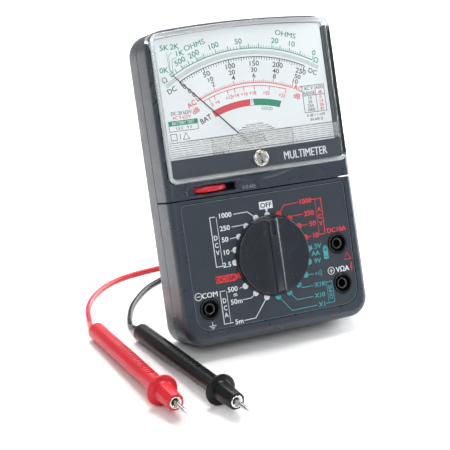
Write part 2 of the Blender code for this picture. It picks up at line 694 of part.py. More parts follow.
def build_stand(case):
    y, height = case_to_world(HINGE_Y, HINGE_Z)
    hinge = empty("stand_hinge", (0, y, height), (STAND_TILT, 0, 0))
    foot = -height / math.cos(STAND_TILT)
    half = STAND_THICK / 2
    neck, hip = KNUCKLE_HALF, 25.0
    right = [(hip - 3, foot), (hip, -14), (neck, -6), (neck, 0)]
    leg = prism([(-x, z) for x, z in reversed(right)] + right, -half, half)
    for vert in leg.verts:
        if vert.co.z < foot + 1:
            vert.co.z -= vert.co.y * math.tan(STAND_TILT)
    stand = node("tilt_stand", leg, "case_grey", hinge)
    join(stand, hinge_rod(KNUCKLE_R, neck))
    cut(stand, prism(rounded_box(-16, 16, foot + 12, -20, 4, 4), -5, 5))
    cut(stand, hinge_rod(PIN_HOLE_R, neck + 1))
    reach = KNUCKLE_HALF + GAP + 4.6
    node("stand_pin", cylinder(PIN_R, -reach, reach), "steel", case, (0, HINGE_Y, HINGE_Z), SIDEWAYS)


# ---------------------------------------------------------------- test leads

def build_probe(colour, finish):
    """Handle with its finger guard and nozzle, a metal collar in the nozzle, and the pin."""
    (x0, y0), (x1, y1) = PROBES[colour]
    rise = GUARD_R - HANDLE_R
    heading = Vector((x1 - x0, y1 - y0, 0)).normalized()
    pitch = math.asin(rise / HANDLE_LENGTH)
    axis = heading * math.cos(pitch) + Vector((0, 0, math.sin(pitch)))
    turn = axis.to_track_quat("Z", "Y").to_euler()
    frame = empty(f"probe_{colour}", (x0, y0, HANDLE_R), turn)

    tip = HANDLE_LENGTH + NOZZLE_LENGTH
    rear = arc(HANDLE_R - 2.5, 2.5, 2.5, -90, 0, 5)
    handle = [(0, 0)] + rear + [(4.2, HANDLE_LENGTH - 1.2), (GUARD_R - 0.6, HANDLE_LENGTH - 0.9)]
    handle += [(GUARD_R, HANDLE_LENGTH), (GUARD_R - 0.5, HANDLE_LENGTH + 1.1), (4.9, HANDLE_LENGTH + 2.0)]
    handle += [(4.5, HANDLE_LENGTH + 4), (3.9, tip), (3.2, tip), (3.2, tip - 2.2)]
    handle += [(1.3, tip - 2.2), (1.3, tip - 6), (0, tip - 6)]
    node(f"probe_handle_{colour}", turned(handle, 20), finish, frame)
    collar = [(1.3, tip - 1.9), (2.9, tip - 1.9), (2.9, tip + 0.1), (2.2, tip + 0.3), (1.3, tip - 0.3)]
    node(f"probe_collar_{colour}", turned(collar, 20), "nickel", frame)
    end = tip + PIN_LENGTH
    pin = [(0, tip - 5.7), (1.0, tip - 5.7), (1.0, end - 2.6), (0.25, end), (0, end)]
    node(f"probe_pin_{colour}", turned(pin, 12), "steel", frame)


def smooth_curve(points, spacing):
    """Evenly spaced points on a natural cubic spline through the given ones."""
    knots = np.array(points, dtype=float)
    steps = np.linalg.norm(np.diff(knots, axis=0), axis=1)
    at = np.concatenate([[0.0], np.cumsum(steps)])
    n = len(knots)
    system = np.eye(n)
    slopes = np.zeros_like(knots)
    for i in range(1, n - 1):
        system[i, i - 1] = steps[i - 1]
        system[i, i] = 2 * (steps[i - 1] + steps[i])
        system[i, i + 1] = steps[i]
        slopes[i] = 6 * ((knots[i + 1] - knots[i]) / steps[i] - (knots[i] - knots[i - 1]) / steps[i - 1])
    bend = np.linalg.solve(system, slopes)
    count = max(2, int(round(at[-1] / spacing)) + 1)
    result = []
    for s in np.linspace(0, at[-1], count):
        i = min(int(np.searchsorted(at, s, side="right")) - 1, n - 2)
        h = steps[i]
        a, b = (at[i + 1] - s) / h, (s - at[i]) / h
        sway = (a**3 - a) * bend[i] + (b**3 - b) * bend[i + 1]
        point = a * knots[i] + b * knots[i + 1] + sway * h**2 / 6
        point[2] = max(point[2], CORD_Z)
        result.append(tuple(point))
    return result


def build_cord(colour, finish):
    """The free stretch of a lead, from its handle's rear to its coil."""
    (x0, y0), (x1, y1) = PROBES[colour]
    back = Vector((x0 - x1, y0 - y1, 0)).normalized()
    start = Vector((x0, y0, HANDLE_R)) + back * GAP
    route = smooth_curve([tuple(start)] + ROUTES[colour], 2.5 * CORD_D)
    wire(f"cord_{colour}", route, CORD_D / 2, finish)

    width = COIL_COLUMNS * CORD_D / 2 + 0.2
    height = COIL_LAYERS * CORD_D + 0.3
    inner, outer = COIL_R - width, COIL_R + width
    trim = 0.9
    ring = [(inner + trim, 0), (outer - trim, 0), (outer, trim), (outer, height - trim)]
    ring += [(outer - trim, height), (inner + trim, height), (inner, height - trim), (inner, trim)]
    cx, cy = COIL_CENTRES[colour]
    node(f"coil_{colour}", turned(ring, 28), finish, None, (cx, cy, 0))

    exit_angle = math.radians(COIL_EXITS[colour])
    run = COIL_R + (COIL_COLUMNS - 1) / 2 * CORD_D
    x = cx + run * math.cos(exit_angle) + PLUG_START
    y = cy + run * math.sin(exit_angle)
    relief = 10.0
    body = [(0, 0), (PLUG_RELIEF_R, 0), (3.2, relief), (PLUG_R, relief + 1.5), (PLUG_R, PLUG_LENGTH - 2)]
    body += [(PLUG_R - 0.8, PLUG_LENGTH), (0, PLUG_LENGTH)]
    node(f"plug_{colour}", turned(body, 18), finish, None, (x, y, PLUG_R), SIDEWAYS)
    start = PLUG_LENGTH + GAP
    bulge = 2.15
    end = start + PLUG_PIN_LENGTH
    pin = [(0, start), (1.7, start), (1.7, start + 3), (bulge, start + 7), (bulge, start + 12)]
    pin += [(1.7, start + 16), (1.5, end - 1), (0.9, end), (0, end)]
    node(f"plug_pin_{colour}", turned(pin, 14), "nickel", None, (x, y, PLUG_R), SIDEWAYS)


# ---------------------------------------------------------------- the whole object

def main():
    clear_scene()
    y, z = case_to_world(0.0, 0.0)
    case = empty("case_frame", (0, y, z), (-LEAN, 0, 0))
    build_rear_case(case)
    build_front_case(case)
    build_legend_plate(case)
    build_head_frame(case)
    build_case_screws(case)
    build_selector(case)
    build_detent_spring(case)
    build_jacks(case)
    build_lens(case)
    build_band(case)
    build_dial(case)
    build_zero_adjust(case)
    build_movement(case)
    build_ohms_adjust(case)
    build_board(case)
    build_shunt(case)
    build_cells(case)
    build_stand(case)
    for colour, finish in (("red", "red_plastic"), ("black", "black_plastic")):
        build_probe(colour, finish)
        build_cord(colour, finish)


main()
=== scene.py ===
"""Looks of the analog multimeter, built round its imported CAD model.

Lengths are in millimetres, and MM turns them into Blender's metres. The pieces of the
case are modelled upright in the case's own frame: X to the right, Y from the face into
the case, Z up from the bottom edge. The matrix CASE leans that frame back; it is worked
out from the joints. The test leads are modelled in the world, where the table is Z = 0.
"""
import json
import math

import bmesh
import bpy
import numpy as np
from mathutils import Matrix, Vector


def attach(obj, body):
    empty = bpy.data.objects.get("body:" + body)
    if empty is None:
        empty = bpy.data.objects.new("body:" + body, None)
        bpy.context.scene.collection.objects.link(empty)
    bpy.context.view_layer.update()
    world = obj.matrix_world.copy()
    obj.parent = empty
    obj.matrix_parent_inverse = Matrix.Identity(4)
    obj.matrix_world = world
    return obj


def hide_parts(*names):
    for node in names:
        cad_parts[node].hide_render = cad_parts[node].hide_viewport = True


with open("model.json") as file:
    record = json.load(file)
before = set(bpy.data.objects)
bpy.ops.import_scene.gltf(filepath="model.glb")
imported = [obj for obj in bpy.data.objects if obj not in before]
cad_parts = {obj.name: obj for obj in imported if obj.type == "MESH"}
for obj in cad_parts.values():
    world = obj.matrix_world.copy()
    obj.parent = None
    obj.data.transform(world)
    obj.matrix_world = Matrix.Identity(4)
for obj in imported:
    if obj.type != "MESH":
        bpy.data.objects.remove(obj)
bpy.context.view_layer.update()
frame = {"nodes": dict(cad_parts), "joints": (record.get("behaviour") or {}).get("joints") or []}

MM = 0.001
GAP = 0.3

# Case, as in the CAD
CASE_W = 100.0
CASE_H = 153.5
ARCH = 2.3
CORNER_LOW = 10.0
CORNER_TOP = 11.0
DEPTH = 28.0
SEAM = 15.0
WALL = 2.0
FACE_WALL = 2.4
FRONT_EDGE = 4.0
BACK_EDGE = 3.5
SPLIT = 70.5
REST_CUT = 7.8
PLATE_HALF = 44.25
PLATE_LOW = 7.1
PLATE_TOP = 68.3
PLATE_FRONT = 0.4
PLATE_BACK = 0.9
KNOB_Z = 37.7
KNOB_R = 19.9
KNOB_TOP = 5.2
GRIP_HALF = 2.1
SHAFT_R = 3.4
JACKS = {"com": (-36.5, 17.5), "volt": (36.4, 17.8), "amp": (36.4, 37.9)}
JACK_R = 5.0
SLEEVE_R = 2.65
BORE_R = 2.0
LENS_HALF = 48.2
LENS_LOW = 78.6
LENS_RIM = 1.2
LENS_FRONT = -1.0
LENS_WALL = 1.5
LENS_SIDE = 2.2
LENS_CORNER = 4.0
LENS_BACK = 6.0
BAND_TOP = 90.0
DIAL_FRONT = 4.4
DIAL_BACK = 5.2
DIAL_HALF = 44.6
PIVOT_Z = 91.0
POINTER_LENGTH = 53.8
REST_ANGLE = math.radians(-43.8)
SCREW_Z = 85.4
WHEEL = (-27.5, 10.7, 74.2)
WHEEL_R = 11.5
WHEEL_THICK = 2.4
CASE_SCREW = (44.0, 62.0)
HINGE = (31.0, 84.0)
STAND_TILT = math.radians(7.0)
KNUCKLE_HALF = 15.0
KNUCKLE_R = 2.6
STAND_THICK = 2.6
BOSS_HOLE_R = 1.5

# Only in the looks: the recess round the thumbwheel, its slot, and the zero screw's hole
WHEEL_RECESS = (-40.2, -12.6)
WHEEL_SLOT = (-35.6, -14.2)
SCREW_HOLE_R = 1.9
BUMP_R = 16.6
BUMP_Z = 87.1
BUMP_PROUD = 0.6

# Camera, solved from the photo's perspective
CAMERA_AT = (-276.95, -544.92, 284.66)
CAMERA_RIGHT = (0.9046, -0.4262, 0.0002)
CAMERA_BACK = (-0.3991, -0.8468, 0.3517)
CAMERA_LENS = 106.1

# Test leads, as in the CAD
CORD_D = 2.6
CORD_Z = 1.35
PROBES = {"red": ((-80.2, 23.4), (-76.2, -82.9)), "black": ((-60.9, 12.6), (-51.1, -90.0))}
HANDLE_R = 4.5
GUARD_R = 7.5
HANDLE_LENGTH = 79.0
NOZZLE_LENGTH = 14.0
PIN_LENGTH = 11.5
COIL_RADII = (17.6, 15.0, 12.4)
COIL_LEVELS = (1.35, 3.95)
PLUG_R = 4.5
PLUG_START = 11.3
PLUG_LENGTH = 28.0
PLUG_PIN_LENGTH = 19.0
ROUTES = {
    "red": [
        (-79.9, 29.0, 3.7), (-79.1, 33.5, 2.3), (-77.8, 38.0, 1.4), (-75.2, 47.8, 1.35),
        (-70.7, 59.6, 1.35), (-62.4, 71.6, 1.35), (-50.4, 82.0, 1.35), (-36.5, 88.0, 1.35),
        (-17.6, 91.4, 1.35), (-3.0, 94.0, 1.35), (9.0, 95.8, 1.35),
    ],
    "black": [
        (-61.2, 18.0, 3.8), (-60.9, 22.5, 2.4), (-60.0, 27.5, 1.4), (-56.4, 37.5, 1.35),
        (-50.8, 48.5, 1.35), (-41.8, 60.3, 1.35), (-31.9, 70.0, 1.35), (-22.9, 75.8, 1.35),
        (-16.6, 79.1, 1.35),
    ],
}
# Coil centre, angle where the cord comes in, angle where it leaves, and turning sense
COILS = {
    "red": ((20.0, 113.6), -90.0, -90.0, 1),
    "black": ((2.0, 68.0), 120.0, 90.0, -1),
}

JOINTS = {j["name"]: j for j in frame["joints"]}


def case_matrix():
    """The leant case's frame in the world, from the selector's and the wheel's axes."""
    into = Vector(JOINTS["selector_turn"]["axis"]).normalized()
    up = Vector(JOINTS["ohms_adjust_turn"]["axis"]).normalized()
    origin = Vector(JOINTS["selector_turn"]["pos_m"]) - up * KNOB_Z * MM
    turn = Matrix((into.cross(up), into, up)).transposed()
    return Matrix.Translation(origin) @ turn.to_4x4()


def case_at(x, y, z):
    """The case's frame, moved to a point in it."""
    return CASE @ Matrix.Translation(Vector((x, y, z)) * MM)


CASE = case_matrix()
LEAN = math.atan2(-CASE[2][1], CASE[2][2])
WORLD = Matrix.Identity(4)


# ---------------------------------------------------------------- materials

def shader_node(tree, kind, inputs=None, **settings):
    """One node. An input's value is a number, a colour or another node's output."""
    made = tree.nodes.new(kind)
    for key, value in settings.items():
        setattr(made, key, value)
    for key, value in (inputs or {}).items():
        if isinstance(value, bpy.types.NodeSocket):
            tree.links.new(value, made.inputs[key])
        else:
            made.inputs[key].default_value = value
    return made


def new_material(name):
    """A material with its tree, its Principled shader and its object coordinates."""
    made = bpy.data.materials.new(name)
    made.use_nodes = True
    tree = made.node_tree
    coords = shader_node(tree, "ShaderNodeTexCoord").outputs["Object"]
    return made, tree, tree.nodes["Principled BSDF"], coords


def noise(tree, coords, size_mm, detail=2.0, stretch=(1, 1, 1)):
    """Noise whose grains are about size_mm across, drawn out along an axis by stretch."""
    scaled = shader_node(tree, "ShaderNodeMapping", {"Vector": coords, "Scale": stretch})
    inputs = {"Vector": scaled.outputs[0], "Scale": 1000.0 / size_mm, "Detail": detail}
    return shader_node(tree, "ShaderNodeTexNoise", inputs).outputs["Fac"]


def ranged(tree, value, low, high):
    """Noise spread over a range of values."""
    inputs = {"Value": value, "From Min": 0.3, "From Max": 0.7, "To Min": low, "To Max": high}
    return shader_node(tree, "ShaderNodeMapRange", inputs).outputs[0]


def shaded(colour, share):
    return tuple(min(1.0, c * share) for c in colour) + (1.0,)


def mottle(tree, value, colour, spread):
    """A colour that wanders a little lighter and darker with the noise."""
    ramp = shader_node(tree, "ShaderNodeValToRGB", {"Fac": value})
    ramp.color_ramp.elements[0].position = 0.3
    ramp.color_ramp.elements[0].color = shaded(colour, 1 - spread)
    ramp.color_ramp.elements[1].position = 0.7
    ramp.color_ramp.elements[1].color = shaded(colour, 1 + spread)
    return ramp.outputs["Color"]


def bump(tree, height, depth_mm, strength, normal=None):
    inputs = {"Height": height, "Distance": depth_mm * MM, "Strength": strength}
    if normal is not None:
        inputs["Normal"] = normal
    return shader_node(tree, "ShaderNodeBump", inputs).outputs["Normal"]


def feed(tree, shader, **sockets):
    """Link or set the shader's sockets, named with _ for a space."""
    for key, value in sockets.items():
        socket = shader.inputs[key.replace("_", " ")]
        if isinstance(value, bpy.types.NodeSocket):
            tree.links.new(value, socket)
        else:
            socket.default_value = value


def moulded(name, colour, roughness, grain, depth, coat=0.0):
    """Moulded plastic: spark-eroded grain, faint flow marks and a little handling polish."""
    made, tree, shader, coords = new_material(name)
    flow = noise(tree, coords, 14.0, 3.0, (1.0, 1.0, 0.5))
    polish = noise(tree, coords, 6.0, 4.0)
    texture = noise(tree, coords, grain, 1.5)
    waviness = bump(tree, noise(tree, coords, 9.0, 1.0), 0.02, 0.35)
    feed(
        tree, shader, Base_Color=mottle(tree, flow, colour, 0.05),
        Roughness=ranged(tree, polish, roughness - 0.05, roughness + 0.06),
        Normal=bump(tree, texture, depth, 0.6, waviness), IOR=1.5, Coat_Weight=coat, Coat_Roughness=0.25,
    )
    return made


def vinyl(name, colour, roughness, gloss):
    """Soft PVC of the leads, with an orange-peel skin. Without gloss it mirrors less as well."""
    made, tree, shader, coords = new_material(name)
    peel = noise(tree, coords, 1.6, 2.0)
    fine = noise(tree, coords, 0.3, 1.0)
    cloud = noise(tree, coords, 11.0, 2.0)
    feed(
        tree, shader, Base_Color=mottle(tree, cloud, colour, 0.06),
        Roughness=ranged(tree, cloud, roughness - 0.05, roughness + 0.06),
        Normal=bump(tree, fine, 0.006, 0.5, bump(tree, peel, 0.03, 0.5)),
        IOR=1.5 if gloss else 1.36, Coat_Weight=gloss, Coat_Roughness=0.12,
    )
    return made


def ink(name, colour, roughness=0.5):
    """Screen-printed ink, with its slightly uneven cover and thickness."""
    made, tree, shader, coords = new_material(name)
    cover = noise(tree, coords, 0.8, 3.0)
    feed(
        tree, shader, Base_Color=mottle(tree, cover, colour, 0.05),
        Roughness=ranged(tree, cover, roughness - 0.06, roughness + 0.06),
        Normal=bump(tree, cover, 0.004, 0.5), IOR=1.48,
    )
    return made


def metal(name, colour, roughness, stretch=(1, 1, 1), brush=0.5, depth=0.004):
    """Machined or plated metal. stretch draws the tool marks out along an axis."""
    made, tree, shader, coords = new_material(name)
    marks = noise(tree, coords, brush, 3.0, stretch)
    tarnish = noise(tree, coords, 5.0, 3.0)
    feed(
        tree, shader, Base_Color=mottle(tree, tarnish, colour, 0.06),
        Roughness=ranged(tree, marks, max(0.03, roughness - 0.07), roughness + 0.08),
        Normal=bump(tree, marks, depth, 0.6), Metallic=1.0,
    )
    return made


def clear(name, tint):
    """Clear acrylic. Light from the lamps passes straight through to what is behind."""
    made, tree, shader, coords = new_material(name)
    ripple = noise(tree, coords, 30.0, 1.0)
    smear = noise(tree, coords, 12.0, 4.0)
    feed(
        tree, shader, Base_Color=(*tint, 1.0), Roughness=ranged(tree, smear, 0.009, 0.024),
        Normal=bump(tree, ripple, 0.02, 0.3), IOR=1.49, Transmission_Weight=1.0,
    )
    lamp = shader_node(tree, "ShaderNodeLightPath").outputs["Is Shadow Ray"]
    through = shader_node(tree, "ShaderNodeBsdfTransparent", {"Color": (*tint, 1.0)}).outputs[0]
    mix = shader_node(tree, "ShaderNodeMixShader", {0: lamp, 1: shader.outputs[0], 2: through})
    tree.links.new(mix.outputs[0], tree.nodes["Material Output"].inputs["Surface"])
    return made


def dial_paint(name, colour):
    """Matt white lacquer on sheet metal, a touch cooler in its clouds."""
    made, tree, shader, coords = new_material(name)
    cloud = noise(tree, coords, 25.0, 3.0)
    tooth = noise(tree, coords, 0.25, 2.0)
    feed(
        tree, shader, Base_Color=mottle(tree, cloud, colour, 0.02), Roughness=ranged(tree, cloud, 0.42, 0.52),
        Normal=bump(tree, tooth, 0.006, 0.5), IOR=1.45,
    )
    return made


def circuit_laminate(name, colour):
    """Green solder mask with tracks standing slightly proud and lighter."""
    made, tree, shader, coords = new_material(name)
    cells = shader_node(
        tree, "ShaderNodeTexVoronoi", {"Vector": coords, "Scale": 260.0},
        distance="MANHATTAN", feature="DISTANCE_TO_EDGE",
    )
    tracks = shader_node(
        tree, "ShaderNodeMapRange", {"Value": cells.outputs["Distance"], "From Min": 0.05, "From Max": 0.09},
    ).outputs[0]
    tone = shader_node(tree, "ShaderNodeValToRGB", {"Fac": tracks})
    tone.color_ramp.elements[0].color = shaded(colour, 1.9)
    tone.color_ramp.elements[1].color = shaded(colour, 1.0)
    feed(
        tree, shader, Base_Color=tone.outputs["Color"],
        Roughness=ranged(tree, noise(tree, coords, 3.0), 0.25, 0.4),
        Normal=bump(tree, tracks, -0.03, 0.6),
    )
    return made


def wound_wire(name, colour):
    """Turns of enamelled wire, side by side."""
    made, tree, shader, coords = new_material(name)
    wave = shader_node(
        tree, "ShaderNodeTexWave", {"Vector": coords, "Scale": 900.0, "Distortion": 0.6},
        bands_direction="Y",
    ).outputs["Fac"]
    feed(
        tree, shader, Base_Color=mottle(tree, wave, colour, 0.25),
        Roughness=ranged(tree, noise(tree, coords, 2.0), 0.25, 0.4),
        Normal=bump(tree, wave, 0.05, 0.8), Metallic=0.8,
    )
    return made


SLATE = (0.03, 0.039, 0.055)
FINISHES = {
    "case_grey": moulded("slate_abs", SLATE, 0.3, grain=0.3, depth=0.015),
    "legend": moulded("slate_panel", (0.026, 0.036, 0.05), 0.42, grain=0.22, depth=0.01),
    "band": moulded("slate_band", (0.018, 0.026, 0.04), 0.4, grain=0.3, depth=0.01),
    "knob_black": moulded("black_abs", (0.012, 0.017, 0.025), 0.24, grain=0.25, depth=0.002, coat=0.1),
    "jack_black": moulded("jack_nylon", (0.008, 0.008, 0.009), 0.33, grain=0.5, depth=0.008),
    "beige_plastic": moulded("beige_acetal", (0.62, 0.52, 0.38), 0.42, grain=0.6, depth=0.01),
    "wheel_red": moulded("red_acetal", (0.62, 0.018, 0.03), 0.33, grain=0.5, depth=0.01, coat=0.2),
    "cell_sleeve": moulded("blue_sleeve", (0.04, 0.1, 0.28), 0.28, grain=2.0, depth=0.01, coat=0.3),
    "clear_plastic": clear("clear_acrylic", (0.97, 0.99, 1.0)),
    "fuse_glass": clear("fuse_glass", (0.95, 1.0, 0.98)),
    "shroud_grey": moulded("shroud_polycarbonate", (0.62, 0.61, 0.59), 0.4, grain=0.5, depth=0.008),
    "foam": moulded("pale_foam", (0.8, 0.81, 0.82), 0.75, grain=0.6, depth=0.03),
    "dial_white": dial_paint("dial_lacquer", (0.76, 0.775, 0.78)),
    "steel": metal("bright_steel", (0.62, 0.62, 0.63), 0.24),
    "nickel": metal("nickel_plate", (0.74, 0.72, 0.68), 0.16, brush=1.2, depth=0.003),
    # Jack sleeves: nickel made darker, partly as painted shade of their deep recess and partly as a darker
    # sleeve
    "socket_metal": metal("nickel_dark_with_painted_shade", (0.16, 0.16, 0.17), 0.35),
    "probe_steel": metal("drawn_steel", (0.66, 0.64, 0.61), 0.2, (1, 0.1, 1), 0.4),
    "brass": metal("turned_brass", (0.78, 0.58, 0.26), 0.27),
    "iron": metal("soft_iron", (0.3, 0.3, 0.31), 0.42, brush=0.9, depth=0.01),
    "copper": wound_wire("enamelled_copper", (0.6, 0.24, 0.11)),
    "mirror": ink("mirror_strip", (0.56, 0.58, 0.59), 0.3),
    "pointer_black": moulded("needle_black", (0.012, 0.012, 0.013), 0.45, grain=0.4, depth=0.003),
    "board_green": circuit_laminate("solder_mask", (0.03, 0.16, 0.07)),
    "lead_red": vinyl("red_vinyl", (0.6, 0.005, 0.018), 0.36, gloss=0.1),
    "lead_black": vinyl("black_vinyl", (0.003, 0.004, 0.005), 0.3, gloss=0.0),
    "ink_white": ink("white_ink", (0.72, 0.75, 0.78)),
    "ink_red": ink("red_ink", (0.72, 0.035, 0.04)),
    "ink_teal": ink("teal_ink", (0.05, 0.33, 0.37)),
    "ink_black": ink("black_ink", (0.02, 0.021, 0.024)),
    "ink_green": ink("green_ink", (0.012, 0.24, 0.14)),
    "ink_dial_red": ink("dial_red_ink", (0.68, 0.05, 0.06)),
    # Pale grey painted highlight: the light caught by the rim of the panel's recess and by the raised marks
    # on the head
    "highlight_grey": ink("painted_rim_highlight", (0.2, 0.23, 0.28)),
}


# ---------------------------------------------------------------- outlines

def arc(cx, cz, radius, start, end, steps):
    """Points of an arc, its angles in degrees."""
    angles = np.radians(np.linspace(start, end, steps))
    return [(cx + radius * math.cos(a), cz + radius * math.sin(a)) for a in angles]


def rounded_box(x0, x1, z0, z1, low, top=None, steps=9):
    """A rectangle with rounded lower and upper corners."""
    top = low if top is None else top
    return (
        arc(x0 + low, z0 + low, low, 180, 270, steps)
        + arc(x1 - low, z0 + low, low, 270, 360, steps)
        + arc(x1 - top, z1 - top, top, 0, 90, steps)
        + arc(x0 + top, z1 - top, top, 90, 180, steps)
    )


def foot_outline(inset, steps=16):
    """The case's two lower corners, from left to right."""
    half = CASE_W / 2 - inset
    radius = CORNER_LOW - inset
    return (
        arc(-half + radius, inset + radius, radius, 180, 270, steps)
        + arc(half - radius, inset + radius, radius, 270, 360, steps)
    )


def head_outline(inset, top_inset=None, radius=None, steps=16):
    """The case's arched top with its corners, from right to left."""
    top_inset = inset if top_inset is None else top_inset
    half = CASE_W / 2 - inset
    height = CASE_H - top_inset
    radius = CORNER_TOP - inset if radius is None else radius
    corner_x = half - radius
    slope = math.degrees(math.atan(2 * ARCH * corner_x / half**2))
    touch_x = corner_x + radius * math.sin(math.radians(slope))
    touch_z = height - ARCH * (touch_x / half) ** 2
    corner_z = touch_z - radius * math.cos(math.radians(slope))
    right = arc(corner_x, corner_z, radius, 0, 90 - slope, steps)
    crown = [(x, height - ARCH * (x / half) ** 2) for x in np.linspace(touch_x, -touch_x, 17)[1:-1]]
    left = [(-x, z) for x, z in reversed(right)]
    return right + crown + left


def case_outline(inset):
    return foot_outline(inset) + head_outline(inset)


def lower_outline(inset, top):
    half = CASE_W / 2 - inset
    return foot_outline(inset) + [(half, top), (-half, top)]


def upper_outline(inset, bottom):
    half = CASE_W / 2 - inset
    return [(-half, bottom), (half, bottom)] + head_outline(inset)


def lens_outline(inset=0.0):
    half = LENS_HALF - inset
    low = LENS_LOW + inset
    radius = LENS_CORNER - inset
    corners = arc(-half + radius, low + radius, radius, 180, 270, 9)
    corners += arc(half - radius, low + radius, radius, 270, 360, 9)
    return corners + head_outline(CASE_W / 2 - half, LENS_RIM + inset, radius)


# ---------------------------------------------------------------- solids, in millimetres

def loft(loops):
    """A closed solid through loops of equal length, capped at both ends."""
    bm = bmesh.new()
    rings = [[bm.verts.new(p) for p in loop] for loop in loops]
    bm.faces.new(rings[0])
    bm.faces.new(list(reversed(rings[-1])))
    for lower, upper in zip(rings, rings[1:]):
        for i in range(len(lower)):
            j = (i + 1) % len(lower)
            bm.faces.new((lower[j], lower[i], upper[i], upper[j]))
    return bm


def prism(outline, y0, y1):
    """An outline in X and Z, made solid from Y = y0 to y1."""
    return loft([[(x, y, z) for x, z in outline] for y in (y0, y1)])


def rounded_prism(outline_at, profile):
    """A solid whose outline shrinks by an inset at each depth. profile holds (inset, y)."""
    return loft([[(x, y, z) for x, z in outline_at(inset)] for inset, y in profile])


def front_round(radius, front, back, steps=8):
    """Profile of a rounded front edge and a straight wall, from the front to the back."""
    angles = [math.radians(90 * i / steps) for i in range(steps, -1, -1)]
    edge = [(radius * (1 - math.cos(a)), front + radius * (1 - math.sin(a))) for a in angles]
    return edge + [(0.0, back)]


def shifted(profile, by):
    """A profile of (radius, height) points, each with what follows them, moved up."""
    return [(radius, by + height, *rest) for radius, height, *rest in profile]


def swapped(bm, order):
    """The axes of a solid in another order, such as (1, 0, 2) to swap X and Y."""
    for vert in bm.verts:
        vert.co = Vector([vert.co[i] for i in order])
    return bm


def faced_out(profile, steps, x=0.0, z=0.0):
    """A turned solid on the case's face, its heights counted outwards."""
    return moved(turned(profile, steps), (x, 0, z), Z_OUT)


def block(x0, x1, y0, y1, z0, z1):
    return prism([(x0, z0), (x1, z0), (x1, z1), (x0, z1)], y0, y1)


def turned(profile, steps=48):
    """A profile of (radius, height) points, turned about Z. One that starts and ends on
    the axis gives a solid, and one that doesn't is closed into a ring."""
    bm = bmesh.new()
    circle = [(math.cos(a), math.sin(a)) for a in np.linspace(0, 2 * math.pi, steps, endpoint=False)]
    rings = []
    for radius, height in profile:
        if radius < 1e-6:
            rings.append([bm.verts.new((0, 0, height))])
        else:
            rings.append([bm.verts.new((radius * c, radius * s, height)) for c, s in circle])
    on_axis = profile[0][0] < 1e-6
    following = rings[1:] if on_axis else rings[1:] + rings[:1]
    for lower, upper in zip(rings, following):
        for i in range(steps):
            j = (i + 1) % steps
            corners = [lower[i % len(lower)], lower[j % len(lower)]]
            corners += [upper[j % len(upper)], upper[i % len(upper)]]
            unique = list(dict.fromkeys(corners))
            if len(unique) > 2:
                bm.faces.new(unique)
    return bm


def cylinder(radius, low, high, steps=32):
    return turned([(0, low), (radius, low), (radius, high), (0, high)], steps)


def moved(bm, at, turn=Matrix.Identity(4)):
    bmesh.ops.transform(bm, matrix=Matrix.Translation(at) @ turn, verts=bm.verts)
    return bm


Z_TO_Y = Matrix.Rotation(math.radians(-90), 4, "X")
Z_OUT = Matrix.Rotation(math.radians(90), 4, "X")  # a turned piece's axis points out of the face
Z_TO_X = Matrix.Rotation(math.radians(90), 4, "Y")


def hole(x, z, radius, y0, y1, steps=48):
    """A round solid along the case's depth."""
    return moved(cylinder(radius, y0, y1, steps), (x, 0, z), Z_TO_Y)


def several(shapes):
    """One bmesh that holds several separate shapes."""
    bm = bmesh.new()
    scratch = bpy.data.meshes.new("scratch")
    for shape in shapes:
        shape.to_mesh(scratch)
        shape.free()
        bm.from_mesh(scratch)
    bpy.data.meshes.remove(scratch)
    return bm


# ---------------------------------------------------------------- objects

def new_object(name, data):
    made = bpy.data.objects.new(name, data)
    bpy.context.collection.objects.link(made)
    return made


def mesh_object(name, bm, matrix):
    bmesh.ops.remove_doubles(bm, verts=bm.verts, dist=1e-5)
    bmesh.ops.recalc_face_normals(bm, faces=bm.faces)
    bmesh.ops.scale(bm, vec=(MM, MM, MM), verts=bm.verts)
    mesh = bpy.data.meshes.new(name)
    bm.to_mesh(mesh)
    bm.free()
    obj = new_object(name, mesh)
    obj.matrix_world = matrix
    return obj


def piece(name, bm, finish, node="", matrix=CASE, body="root"):
    """One piece of the object in its finish, riding on a body. One that stands for a CAD node hides that
    node."""
    obj = mesh_object(name, bm, matrix)
    obj.data.materials.append(FINISHES[finish])
    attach(obj, body)
    if node:
        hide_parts(node)
    return obj


def applied(obj):
    """Makes the object's modifiers part of its mesh."""
    graph = bpy.context.evaluated_depsgraph_get()
    mesh = bpy.data.meshes.new_from_object(obj.evaluated_get(graph))
    obj.modifiers.clear()
    obj.data = mesh


def boolean(obj, operation, bm):
    tool = mesh_object("tool", bm, obj.matrix_world)
    change = obj.modifiers.new("change", "BOOLEAN")
    change.operation = operation
    change.solver = "EXACT"
    change.object = tool
    applied(obj)
    bpy.data.objects.remove(tool, do_unlink=True)


def cut(obj, bm):
    boolean(obj, "DIFFERENCE", bm)


def join(obj, bm):
    boolean(obj, "UNION", bm)


def finished(obj, edge, segments=3, angle=35.0):
    """Smooth shading with softly broken edges."""
    obj.data.shade_smooth()
    obj.data.set_sharp_from_angle(angle=math.radians(angle))
    if edge:
        bevel = obj.modifiers.new("soft_edges", "BEVEL")
        bevel.width = edge * MM
        bevel.segments = segments
        bevel.limit_method = "ANGLE"
        bevel.angle_limit = math.radians(angle)
        bevel.use_clamp_overlap = False
        bevel.miter_outer = "MITER_ARC"
        bevel.harden_normals = True
    return obj


def soften_only(obj, wanted):
    """Keeps the broken edges to the sharp ones whose two ends, in millimetres, are wanted."""
    mesh = obj.data
    weights = mesh.attributes.new("bevel_weight_edge", "FLOAT", "EDGE")
    sharp = mesh.attributes["sharp_edge"]
    for edge in mesh.edges:
        ends = [mesh.vertices[i].co / MM for i in edge.vertices]
        if sharp.data[edge.index].value and all(wanted(end) for end in ends):
            weights.data[edge.index].value = 1.0
    obj.modifiers["soft_edges"].limit_method = "WEIGHT"


# ---------------------------------------------------------------- camera and room

